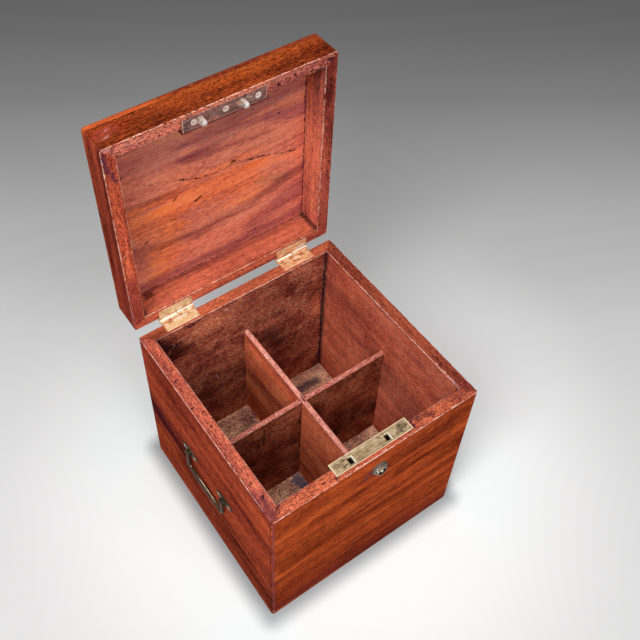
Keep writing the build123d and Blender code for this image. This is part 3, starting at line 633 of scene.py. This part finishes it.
front_rail_marks = on(LID_RIM, [
    (PAINT, [(-111, 439), (-106, 433.5)], 2.6, (62, 44, 66), 0.8),
    (PAINT, [(-113, 443.6), (-106, 443.8)], 1.5, (216, 150, 150), 0.7),
    (PAINT, [(92, 434), (96, 434.6)], 2.0, INK, 0.85),
    (PAINT, [(68, 441.4), (69.5, 441)], 1.5, (40, 26, 50), 0.95),
    (PAINT, [(51.4, 436.4), (52.6, 436.2)], 1.5, INK, 0.9),
    (PAINT, [(47.6, 442), (48.4, 441.6)], 0.9, INK, 0.8),
    (PAINT, [(104, 441), (112, 440)], 3.0, (52, 32, 44), 0.85),
    (SHADE, [(48, 440), (104, 440)], 9, DUSK, 0.6),
    (SHADE, [(-100, 438), (-48, 438)], 9, (1.35, 1.4, 1.45), 0.9),
    (PAINT, [(-100, 441.5), (-74, 440)], 1.3, (236, 160, 140), 0.5),
])
front_rail_marks += on(LID_EDGE, [
    (STAIN, [(-107, 134), (-97, 138)], 9, (176, 88, 62), 0.5),
    (PAINT, [(-106, 130), (-101, 133)], 1.0, PALE, 0.4),
    (PAINT, [(-102, 138), (-97, 140)], 0.9, PALE, 0.4),
    (SHADE, [(-116, 138), (-88, 138)], 14, (0.9, 0.62, 0.9), 0.7),
    (SHADE, [(-86, 147), (90, 148)], 5, (1.02, 1.35, 1.25), 0.6),
    (SHADE, [(95, 130), (116, 130)], 12, (0.62, 0.5, 0.6), 0.8),
])
left_rail_marks = on(LID_RIM, [
    (PAINT, [(-112.6, 438), (-110.6, 424), (-106, 410)], 3.0, (66, 40, 62), 0.7),
    (PAINT, [(-114.2, 440), (-114.2, 430)], 0.8, (214, 190, 200), 0.7),
    (PAINT, [(-114.6, 421), (-114.2, 417)], 1.8, (250, 206, 176), 0.9),
    (SHADE, [(-108, 404), (-107, 300)], 9, (1.3, 1.35, 1.2), 0.7),
    (SHADE, [(-109, 280), (-108, 232)], 12, DUSK, 0.7),
    (PAINT, [(-112.6, 319), (-107.3, 323.5), (-101.8, 322.5)], 0.6, PALE, 0.6),
])
left_rail_marks += [
    (SHADE, [(-114.5, 130, 224), (-114.5, 142, 290)], 26, (0.6, 0.5, 0.7), 0.7),
]
right_rail_marks = on(LID_RIM, [
    (SHADE, [(108, 440), (108, 400)], 12, DARK, 0.7),
    (SHADE, [(108, 300), (108, 222)], 12, DUSK, 0.8),
    (PAINT, [(102.6, 425), (102.6, 240)], 0.5, PALE, 0.4),
    (PAINT, [(108, 412), (107, 388)], 1.6, (64, 24, 26), 0.6),
])
right_rail_marks += [
    (SHADE, [(101.8, 140, 410), (101.8, 130, 250)], 7, (1.2, 1.25, 1.1), 0.6),
]
back_rail_marks = on(LID_IN_BACK, [
    (PAINT, [(-88, 141), (-84, 142)], 5, (84, 32, 26), 0.8),
    (SHADE, [(-100, 146), (100, 146)], 4, DUSK, 0.7),
])
back_rail_marks += [
    (SHADE, [(80, 120, 222), (112, 120, 222)], 9, DUSK, 0.8),
]
panel_marks = on(PANEL, [
    (SHADE, [(-40, 330), (40, 318)], 36, (1.3, 1.06, 0.62), 0.9),
    (SHADE, [(-86, 326), (-50, 300), (-66, 256)], 26, (1.2, 1.1, 0.66), 0.85),
    (SHADE, [(-60, 256), (60, 262)], 12, (1.1, 0.96, 0.9), 0.7),
    (SHADE, [(40, 330), (92, 320)], 8, (1.25, 1.15, 0.85), 0.9),
    # Painted shadow of the front rail across the upper part of the panel
    (SHADE, [(-96, 416), (-70, 420), (-45, 425)], 20, (0.5, 0.46, 0.72), 0.9),
    (SHADE, [(-86, 396), (-40, 386)], 20, (0.72, 0.7, 0.9), 0.8),
    (SHADE, [(-10, 386), (84, 408)], 26, (0.6, 0.56, 0.8), 0.9),
    (SHADE, [(-60, 428), (100, 432)], 13, (0.46, 0.42, 0.62), 0.9),
    (SHADE, [(60, 380), (98, 372)], 12, (0.62, 0.54, 0.84), 0.8),
    (SHADE, [(-30, 372), (60, 362)], 5, (0.66, 0.56, 0.64), 0.7),
    (SHADE, [(-95, 288), (-22, 277), (40, 280), (102, 300)], 9, (0.5, 0.4, 0.46), 0.85),
    (SHADE, [(-92, 346), (-40, 340)], 6, (0.6, 0.5, 0.5), 0.7),
    (SHADE, [(-95, 236), (0, 234), (102, 238)], 10, (0.55, 0.5, 0.7), 0.9),
    (SHADE, [(40, 250), (102, 270)], 18, (0.62, 0.54, 0.72), 0.85),
    (SHADE, [(46, 306), (78, 298)], 8, (0.7, 0.8, 0.8), 0.8),
    (SHADE, [(-95, 300), (-84, 262)], 12, (0.8, 0.9, 0.95), 0.7),
    # Dark seam lines along the right and bottom edges of the panel, partly painted corner shade
    (PAINT, [(101.4, 430), (101.4, 232)], 1.3, (66, 30, 52), 0.85),
    (PAINT, [(-101, 229.4), (101, 229.4)], 1.2, (72, 30, 44), 0.8),
    (PAINT, [(-77, 366.4), (-52, 357.6), (-33, 350.4)], 0.5, SOOT, 0.6),
    (PAINT, [(-33, 350.4), (-18, 344.6), (-5, 342), (19, 344)], 0.7, SOOT, 0.85),
    (PAINT, [(19, 344), (36, 340), (54, 335.5)], 0.8, SOOT, 0.85),
    (PAINT, [(54, 335.5), (76, 328), (92, 325)], 0.8, SOOT, 0.7),
    (PAINT, [(-22, 318.6), (-16, 321.4)], 1.8, SOOT, 0.9),
    (PAINT, [(-45, 331), (-41, 333.5)], 1.4, SOOT, 0.6),
    (PAINT, [(18, 319.4), (20, 320.6)], 1.4, SOOT, 0.85),
    (PAINT, [(60.5, 354.2)], 1.4, SOOT, 0.85),
    (PAINT, [(-10, 359)], 1.1, SOOT, 0.8),
    (PAINT, [(22, 372.7)], 1.1, SOOT, 0.8),
    (PAINT, [(19, 344), (22, 345.5)], 2.4, SOOT, 0.85),
    (PAINT, [(-36, 352), (-31, 349.4)], 1.1, SOOT, 0.7),
    (PAINT, [(-20, 345.6), (-14, 343.4)], 1.2, SOOT, 0.8),
    (PAINT, [(34, 340.6), (44, 338)], 1.2, SOOT, 0.8),
    (PAINT, [(84, 326.4), (90, 325)], 1.4, SOOT, 0.7),
    (PAINT, [(-79, 293.2), (-75, 295)], 1.6, SOOT, 0.6),
])
panel_marks += [
    # Painted highlight along the far top edge of the lid, partly wear
    (SHADE, [(-92, 153, 452), (104, 153, 452)], 7, GLOW, 0.25),
]

# Grain, part, seed, looks of the outer faces, the meeting rim and the inner faces, and marks
block_look = ((160, 76, 58), 1.0)
bottom_look = ((236, 164, 136), 1.0)
woods = {
    "front_board": (
        "x", "case", 1.0, ((192, 82, 42), 0.9), ((213, 108, 76), 0.9), ((170, 86, 66), 0.8), front_marks,
    ),
    "back_board": (
        "x", "case", 2.3, ((176, 76, 44), 1.0), ((182, 90, 64), 0.9), ((172, 84, 66), 0.75), back_marks,
    ),
    "left_board": (
        "y", "case", 3.1, ((190, 80, 54), 1.0), ((218, 111, 86), 0.9), ((170, 86, 66), 0.8), left_marks,
    ),
    "right_board": (
        "y", "case", 4.7, ((182, 78, 48), 1.0), ((160, 75, 53), 1.1), ((220, 111, 84), 0.6), right_marks,
    ),
    "long_divider": ("y", "plain", 5.2, ((255, 124, 84), 0.7), ((250, 160, 140), 0.5), None, long_marks),
    "cross_divider": ("x", "plain", 6.4, ((156, 77, 55), 1.0), ((206, 119, 104), 0.6), None, cross_marks),
    "bottom_board": ("x", "plain", 7.7, bottom_look, bottom_look, None, floor_marks),
    "lid_front_rail": (
        "x", "lid", 8.9, ((151, 63, 29), 1.25), ((234, 126, 102), 0.9), ((190, 100, 80), 0.8),
        front_rail_marks,
    ),
    "lid_back_rail": (
        "x", "lid", 9.6, ((170, 70, 42), 1.0), ((230, 114, 84), 0.9), ((188, 95, 72), 0.8), back_rail_marks,
    ),
    "lid_left_rail": (
        "z", "lid", 10.3, ((164, 68, 50), 1.0), ((240, 108, 76), 1.0), ((184, 93, 70), 0.8),
        left_rail_marks,
    ),
    "lid_right_rail": (
        "z", "lid", 11.8, ((170, 72, 48), 1.0), ((192, 86, 68), 1.1), ((224, 122, 98), 0.8),
        right_rail_marks,
    ),
    "lid_top_board": (
        "x", "lid", 12.5, ((176, 76, 40), 1.1), ((250, 138, 108), 0.8), ((250, 134, 109), 0.7), panel_marks,
    ),
    "link_packing_block": ("x", "lid", 13.2, block_look, block_look, block_look, []),
}

# Where a board differs from the others in pores, dark flecks, roughness inside or fine speckle
pore_shares = {"lid_front_rail": 0.5, "lid_top_board": 0.0, "front_board": 0.15, "left_board": 0.6}
fleck_shares = {"lid_front_rail": 0.9, "lid_right_rail": 0.5, "lid_top_board": 0.1}
rough_insides = {"back_board": 1.0, "front_board": 0.6, "left_board": 0.6, "right_board": 0.45}
rough_insides |= {"long_divider": 0.5, "cross_divider": 0.9, "bottom_board": 0.8}
speckles = {"lid_top_board": 0.3, "lid_front_rail": 1.1, "back_board": 1.4, "front_board": 1.0}
for node, look in woods.items():
    pores = pore_shares.get(node, 0.4)
    flecks = fleck_shares.get(node, 0.2)
    rough = rough_insides.get(node, 0.0)
    speckle = speckles.get(node, 0.45 if "lid" in node else 1.1)
    dress(node, wood(node, *look, pores, flecks, rough, speckle))


def metal(
    name, tones, roughness, patina, patina_share, seed,
    grain="x", marks=(), rings=(), metallic=0.75, brush=0.5,
):
    """Old metal with patches of patina, fine scratches along one axis and small pits."""
    s = Shader(name, grain)
    broad = s.noise(170, seed, 3.0, 0.6)
    brushed = s.noise((90, 1400), seed + 1, 3.0, 0.6)
    pits = s.noise(1100, seed + 2, 2.0, 0.6)
    share = s.moved(s.math("MULTIPLY", broad, 1 - brush), brushed, brush)
    colour = s.ramp(share, *[(place, srgb(*tone)) for place, tone in zip((0.36, 0.5, 0.64), tones)])
    uneven = s.moved(broad, s.math("SUBTRACT", pits, 0.5), 0.25)
    patches = s.step(uneven, 0.74 - patina_share * 0.5, 0.84 - patina_share * 0.5)
    colour = s.mix(s.both(patches, 0.85), colour, srgb(*patina))
    holes = s.step(pits, 0.64, 0.74, 0.0, patina_share)
    colour = s.mix(holes, colour, srgb(*patina))
    loose = s.math("SUBTRACT", uneven, 0.5)
    painted_highlights_and_wear = 0.0
    for group in (rings, marks):
        for points, radius, tint, amount in group:
            away = s.from_path(points)
            radius = radius / 1000
            if group is rings:
                mask = s.both(s.step(away, radius, radius - RING_EDGE), amount)
            else:
                away = s.moved(away, loose, radius * 1.8)
                mask = s.both(s.step(away, radius, radius * 0.4), amount)
            colour = s.mix(mask, colour, srgb(*tint))
            # The palest marks are painted highlights, on the grips partly wear; the metal is taken out
            # under them so that they show at their tint
            if min(tint) > 180:
                painted_highlights_and_wear = s.most(painted_highlights_and_wear, mask)
    hollows = s.math("ADD", holes, s.math("MULTIPLY", patches, 0.4))
    s.bump(s.math("SUBTRACT", brushed, hollows), 0.3, 0.0002)
    rough = s.moved(s.moved(roughness - 0.1, brushed, 0.2), patches, 0.22)
    shine = s.both(s.step(patches, 0, 1, metallic, metallic * 0.4), s.math("SUBTRACT", 1.0, painted_highlights_and_wear))
    return s.finish(colour, rough, metal=shine, specular=0.3)


# Marks on the metal: points in millimetres, radius, tint and amount
selvedge_marks = on(RIM, [
    ([(29, -103.6), (35, -102.8)], 4.4, (116, 96, 70), 0.75),
    ([(30, -101.5), (33, -101)], 1.2, (70, 56, 46), 0.75),
    ([(36, -105.4), (37.4, -104.6)], 1.1, (54, 42, 38), 0.8),
    ([(26, -106.4), (31, -107.6)], 1.3, DIRT, 0.6),
    ([(-40, -103), (-35, -104.4)], 3.0, (138, 110, 78), 0.6),
    ([(-39.4, -100.4), (-37.6, -101.2)], 1.0, DIRT, 0.7),
    ([(-34, -107), (-30, -105.6)], 1.1, DIRT, 0.7),
    ([(-32, -100.4), (-30, -101)], 0.9, DIRT, 0.6),
    ([(8, -100.2), (11, -102.4)], 1.0, (120, 96, 84), 0.7),
    ([(-22, -109.7), (12, -109.6)], 0.7, DIRT, 0.6),
    ([(-18, -106.5), (10, -106.3)], 0.5, (150, 118, 84), 0.6),
    # Pale lines along the plate's edges: painted edge highlights
    ([(-44, -110.4), (40, -110.4)], 0.5, EDGE_HIGHLIGHT, 0.9),
    ([(-44, -97.7), (40, -97.7)], 0.5, EDGE_HIGHLIGHT, 0.7),
    ([(-44.2, -110), (-44.2, -98)], 0.8, EDGE_HIGHLIGHT, 0.95),
    ([(40.2, -110), (40.2, -98)], 0.6, EDGE_HIGHLIGHT, 0.8),
])
# Painted highlights on the edges and walls of the selvedge's two slots
for x in (-22.3, 18.3):
    selvedge_marks += [
        ([(x, -108.4, 211), (x, -101.6, 211)], 0.65, GLEAM, 0.95),
        ([(x, -108, 209.8), (x, -101.6, 209.8)], 1.1, GLEAM, 0.95),
        ([(x, -101.2, 211), (x - 3.4, -100.9, 211)], 0.5, GLEAM, 0.7),
    ]
link_marks = on(LINK_PLATE, [
    # Pale lines along the plate's edges: painted edge highlights, palest on the left
    ([(-42, 442), (40, 442)], 0.5, (206, 170, 160), 0.85),
    ([(-42, 428.6), (40, 428.6)], 0.5, (196, 150, 140), 0.8),
    ([(-41.8, 428.6), (-41.8, 442)], 0.8, (222, 190, 180), 0.9),
    ([(39.8, 428.6), (39.8, 442)], 0.6, (190, 150, 140), 0.8),
    ([(18, 436), (26, 434)], 2.4, (150, 116, 104), 0.6),
    ([(-14, 436), (-6, 434)], 2.4, (136, 104, 92), 0.6),
    ([(-38, 433), (-30, 431)], 2.0, (128, 92, 80), 0.5),
    ([(2, 440), (12, 439)], 2.0, (120, 86, 76), 0.5),
    ([(-29, 435), (-26, 433.5)], 2.6, (206, 166, 142), 0.8),
    ([(11.5, 436.5), (14, 434)], 2.6, (206, 166, 142), 0.8),
    ([(-18, 430.4), (-8, 430.6)], 1.2, (214, 126, 96), 0.7),
    ([(20, 438.6), (25, 436.4)], 1.3, (186, 160, 150), 0.7),
])

# The lock's nozzle: turned rings round its axle, with painted shade in the grooves between them, then
# painted highlights on the upper left and darker spots on the upper right
NOZZLE_X = 0.5
NOZZLE_Z = 187.5


def bore_line(x, z):
    """A line through the front of the case."""
    return [(x, -130, z), (x, -90, z)]


axle = bore_line(NOZZLE_X, NOZZLE_Z)
nozzle_rings = [
    (axle, 9.0, (92, 74, 62), 0.8),
    (axle, 7.8, (44, 32, 30), 0.9),
    (axle, 7.35, (140, 122, 108), 0.9),
    (axle, 6.5, (52, 40, 36), 0.9),
    (axle, 5.9, (150, 132, 114), 0.9),
    (axle, 5.0, (50, 40, 36), 0.85),
]
# Angle in degrees, distance from the axle, radius and tint
nozzle_highlights_and_dark_spots = [
    (110, 6.8, 0.7, (216, 204, 196)), (132, 6.8, 0.9, (244, 236, 230)), (154, 6.8, 0.8, (226, 214, 204)),
    (176, 6.9, 0.7, (250, 240, 230)), (150, 5.4, 0.6, (255, 250, 240)), (190, 5.4, 0.6, (250, 244, 230)),
    (10, 7.9, 1.4, (60, 48, 42)), (34, 7.9, 1.4, (68, 54, 48)), (58, 7.8, 1.3, (80, 64, 56)),
    (20, 6.6, 1.0, (100, 84, 74)), (50, 6.6, 1.0, (112, 96, 86)), (205, 7.2, 0.8, (74, 58, 50)),
]
nozzle_marks = []
for angle, distance, radius, tint in nozzle_highlights_and_dark_spots:
    x = NOZZLE_X + distance * math.cos(math.radians(angle))
    z = NOZZLE_Z + distance * math.sin(math.radians(angle))
    nozzle_marks.append((bore_line(x, z), radius, tint, 0.85))

# The handles' grips, worn bright and painted with a highlight along the outside
GRIP_X = 117.6
bail_wear_and_highlights = []
for side in (-GRIP_X, GRIP_X):
    bail_wear_and_highlights += [
        ([(side, 27, 94.4), (side, -31, 94.4)], 0.6, (248, 226, 196), 0.95),
        ([(side, -18, 94.6), (side, -33, 94.6)], 1.0, (214, 186, 140), 0.8),
    ]

# Along x in millimetres: the hinges' middles, their screws from there, and the link plate's screws
HINGE = 69
HINGE_SCREW = 10
LINK_SCREW = 31.3
LINK_MIDDLE = -0.7


def hinge_marks(x, leaf):
    """Tone patches on the leaves, dark seams beside the knuckle, painted highlights along the knuckle and
    the leaves' edges, and darker ends of the hinge at x.
    """
    return [
        ([(x - 15, 109, 211), (x + 15, 109.6, 211)], 3.4, leaf, 0.8),
        ([(x - 15, 120, 221), (x + 15, 120, 220.4)], 3.4, leaf, 0.8),
        ([(x - 18, 115.9, 211), (x + 18, 115.9, 211)], 0.8, (168, 92, 66), 0.8),
        ([(x - 18, 120, 215), (x + 18, 120, 215)], 0.8, (160, 88, 64), 0.8),
        # Painted highlights along the knuckle
        ([(x - 18, 118.3, 213.7), (x - 1, 118.3, 213.7)], 1.1, (255, 248, 226), 0.95),
        ([(x + 1, 119.4, 214), (x + 18, 119.4, 214)], 0.8, (255, 244, 232), 0.9),
        ([(x, 117.2, 213), (x, 121, 214)], 0.7, (150, 86, 66), 0.7),
        # Painted highlights along the leaves' edges
        ([(x - 18.3, 105.5, 211), (x + 18.3, 105.5, 211)], 0.5, (255, 230, 190), 0.8),
        ([(x - 18.3, 120, 225.3), (x + 18.3, 120, 225.3)], 0.5, (255, 222, 196), 0.6),
        *[([(end, 106, 211), (end, 114, 211)], 0.9, (196, 120, 84), 0.6) for end in (x - 18, x + 18)],
    ]


left_hinge_marks = hinge_marks(-HINGE, (240, 208, 152))
right_hinge_marks = hinge_marks(HINGE, (238, 172, 120)) + [
    ([(61, 120, 215.6), (66, 120, 215.8)], 1.1, (104, 84, 48), 0.85),
    # A painted highlight on the lid leaf
    ([(76, 119.6, 216), (85, 119.8, 218)], 1.8, (224, 228, 236), 0.85),
    ([(66, 111, 211), (72, 110, 211)], 1.2, (120, 64, 36), 0.7),
]
screw_places = []
for x in (-HINGE - HINGE_SCREW, -HINGE + HINGE_SCREW, HINGE - HINGE_SCREW, HINGE + HINGE_SCREW):
    screw_places += [(x, 110.4, 211), (x, 120, 220.6)]
hinge_rings = [([place], 3.6, (178, 106, 62), 0.75) for place in screw_places]
hinge_screw_rings = [([place], 1.5, (226, 172, 112), 0.85) for place in screw_places]
hinge_screw_marks = [([(x + 0.8, y + 0.4, z)], 0.5, (112, 66, 40), 0.6) for x, y, z in screw_places]
link_screw_marks = []
for x in (-LINK_SCREW, LINK_MIDDLE, LINK_SCREW):
    link_screw_marks.append(([(x, 120, 435.4)], 1.9, (196, 138, 108), 0.75))

# Tones of the metals, dark to light
yellow = [(140, 108, 74), (198, 168, 128), (246, 222, 184)]
nickel = [(106, 90, 76), (130, 112, 96), (160, 142, 124)]
iron = [(40, 34, 32), (72, 62, 56), (110, 100, 92)]
black = [(88, 56, 50), (148, 96, 88), (222, 170, 160)]
soot_black = [(26, 20, 20), (40, 32, 30), (70, 58, 50)]
polished = [(190, 176, 166), (232, 222, 212), (255, 250, 244)]
worn_steel = [(206, 178, 168), (240, 220, 210), (255, 246, 240)]
pale_gold = [(186, 120, 86), (244, 208, 162), (255, 246, 226)]
old_gold = [(176, 98, 66), (242, 186, 138), (255, 238, 206)]
screw_gold = [(240, 204, 150), (255, 232, 186), (255, 246, 220)]
pin_gold = [(222, 206, 150), (246, 236, 196), (255, 252, 232)]
olive = [(36, 26, 18), (62, 48, 32), (116, 94, 64)]

metals = {
    "lock_brass": metal(
        "lock_brass", yellow, 0.4, (84, 66, 48), 0.2, 1.0, marks=selvedge_marks, metallic=0.5
    ),
    "lock_iron": metal("lock_iron", iron, 0.5, (34, 24, 20), 0.5, 2.0),
    "lock_steel": metal(
        "lock_steel", nickel, 0.46, (70, 56, 44), 0.1, 3.0,
        marks=nozzle_marks, rings=nozzle_rings, metallic=0.12,
    ),
    "link_iron": metal("link_iron", black, 0.5, (40, 26, 26), 0.4, 4.0, marks=link_marks, metallic=0.3),
    "link_steel": metal("link_steel", polished, 0.3, (110, 84, 76), 0.1, 5.0, grain="z", metallic=0.5),
    "hinge_brass": metal(
        "hinge_brass", pale_gold, 0.36, (170, 104, 76), 0.16, 6.0,
        marks=left_hinge_marks, rings=hinge_rings, metallic=0.3, brush=0.3,
    ),
    "handle_brass": metal(
        "handle_brass", olive, 0.46, (32, 24, 18), 0.35, 7.0, grain="y", marks=bail_wear_and_highlights, metallic=0.12
    ),
    "screw_brass": metal(
        "screw_brass", screw_gold, 0.36, (110, 70, 50), 0.05, 8.0,
        marks=hinge_screw_marks, rings=hinge_screw_rings, metallic=0.3,
    ),
    "screw_steel": metal(
        "screw_steel", worn_steel, 0.34, (110, 78, 70), 0.12, 9.0, marks=link_screw_marks, metallic=0.4
    ),
}
own_metals = {
    "lock_barrel": metal("barrel_steel", soot_black, 0.5, (20, 14, 14), 0.2, 10.0, metallic=0.3),
    "lock_centre_pin": metal("pin_brass", pin_gold, 0.3, (90, 70, 40), 0.1, 11.0, metallic=0.3),
    "right_hinge_box_leaf": metal(
        "hinge_brass_right", old_gold, 0.36, (170, 92, 60), 0.2, 12.0,
        marks=right_hinge_marks, rings=hinge_rings, metallic=0.3, brush=0.3,
    ),
}
own_metals["right_hinge_lid_leaf"] = own_metals["right_hinge_box_leaf"]
slot_of = {row["node"]: row["material_slot"] for row in frame["record"]["subparts"]}
for node in nodes:
    if node not in woods:
        dress(node, own_metals.get(node, metals[slot_of[node]]))

# The camera's place and directions, as solved from the photograph, and the same directions on the floor
EYE = (-0.28899, -0.37377, 0.89926)
RIGHT_WAY = Vector((0.82513, -0.56493, 0.00340))
AHEAD = Vector((0.36873, 0.53399, -0.76085))
FLOOR_AHEAD = (0.56821, 0.82288, 0)
FLOOR_RIGHT = (0.82288, -0.56821, 0)

# On the floor, in metres: its half width, the middle of the painted fall of the light, and distances
# between which that fall, the painted shade at the box's foot and the cooler tint round the box grow
FLOOR_REACH = 6.0
FALL_RIGHT = 0.024
FALL_AHEAD = 0.056
FALL = (0.144, 0.403)
PAINTED_FOOT_SHADE = (0.023, 0.0)
COOL_PAPER = (0.15, 0.02)


def paper(name):
    """White paper beside the box, painted greyer further behind it as a fall of the light, with a painted
    soft shade where the box stands.
    """
    s = Shader(name)
    behind = s.vector("DOT_PRODUCT", s.here, FLOOR_AHEAD)
    beside = s.gap(s.vector("DOT_PRODUCT", s.here, FLOOR_RIGHT), FALL_RIGHT)
    greys = [(0.0, 255), (0.1, 252), (0.2, 246), (0.3, 230), (0.4, 219), (0.52, 197), (0.66, 169)]
    greys += [(0.82, 149), (1.0, 135)]
    colour = s.ramp(behind, *[(place, srgb(v, v, v)) for place, v in greys])
    # A broad painted fall of the light away from the box
    offset = s.new("ShaderNodeCombineXYZ")
    s.put(offset.inputs[0], beside)
    s.put(offset.inputs[1], s.math("SUBTRACT", behind, FALL_AHEAD))
    far_out = s.both(s.step(s.vector("LENGTH", offset.outputs[0]), *FALL), 0.28)
    colour = s.mix(1.0, colour, s.math("SUBTRACT", 1.0, far_out), "MULTIPLY")
    # A narrow painted shade along the foot of the box, and a slightly cooler tint round it that takes out
    # the red light thrown from the box
    past = s.vector("SUBTRACT", s.vector("ABSOLUTE", s.here), (HALF_W, HALF_D, 0))
    off_box = s.vector("LENGTH", s.vector("MAXIMUM", past))
    colour = s.mix(s.both(s.step(off_box, *PAINTED_FOOT_SHADE), 0.82), colour, srgb(150, 152, 154))
    colour = s.mix(s.step(off_box, *COOL_PAPER), colour, (0.955, 1.0, 1.0, 1.0), "MULTIPLY")
    # The floor throws back less light than the camera sees on it
    path = s.new("ShaderNodeLightPath").outputs
    seen = s.most(path["Is Camera Ray"], path["Is Glossy Ray"], path["Is Transmission Ray"])
    return s.finish(s.mix(seen, srgb(150, 150, 150), colour), 0.95, specular=0.0)


floor_mesh = bpy.data.meshes.new("floor")
corners = [(x * FLOOR_REACH, y * FLOOR_REACH, 0) for x, y in ((-1, -1), (1, -1), (1, 1), (-1, 1))]
floor_mesh.from_pydata(corners, [], [(0, 1, 2, 3)])
floor = bpy.data.objects.new("floor", floor_mesh)
bpy.context.scene.collection.objects.link(floor)
floor_mesh.materials.append(paper("floor_paper"))

# Soft studio light
world = bpy.data.worlds.new("studio")
bpy.context.scene.world = world
world.use_nodes = True
background = world.node_tree.nodes["Background"]
background.inputs["Color"].default_value = (1.0, 1.0, 1.0, 1.0)
background.inputs["Strength"].default_value = 0.26

# The middle of the box, which the lights point at
LIT_PLACE = Vector((0, 0, 0.2))


def area_light(name, place, size, power):
    """A round soft light that points at the box. Place and size in metres, power in watts."""
    data = bpy.data.lights.new(name, "AREA")
    data.shape = "DISK"
    data.size = size
    data.energy = power
    lamp = bpy.data.objects.new(name, data)
    lamp.location = place
    lamp.rotation_mode = "QUATERNION"
    lamp.rotation_quaternion = (LIT_PLACE - Vector(place)).to_track_quat("-Z", "Y")
    bpy.context.scene.collection.objects.link(lamp)


area_light("key", (-1.25, -0.55, 1.8), 1.0, 25)
area_light("top", (-0.3, -0.38, 2.1), 0.9, 14)
area_light("fill", (0.2, -1.9, 1.4), 1.4, 12.5)

# Camera at the photograph's place, with the focal length and the centre in pixels of a square picture
PICTURE = 640
FOCAL = 881.43
CENTRE_X = 277.85
CENTRE_Y = 270.81
SENSOR = 36.0
view = bpy.data.cameras.new("camera")
camera = bpy.data.objects.new("camera", view)
bpy.context.scene.collection.objects.link(camera)
bpy.context.scene.camera = camera
turn = Matrix((RIGHT_WAY, RIGHT_WAY.cross(AHEAD), -AHEAD)).transposed().to_4x4()
camera.matrix_world = Matrix.Translation(EYE) @ turn
view.sensor_width = SENSOR
view.lens = SENSOR * FOCAL / PICTURE
view.shift_x = (PICTURE / 2 - CENTRE_X) / PICTURE
view.shift_y = (CENTRE_Y - PICTURE / 2) / PICTURE
view.clip_start = 0.05
view.clip_end = 30
bpy.context.scene.view_settings.view_transform = "Standard"
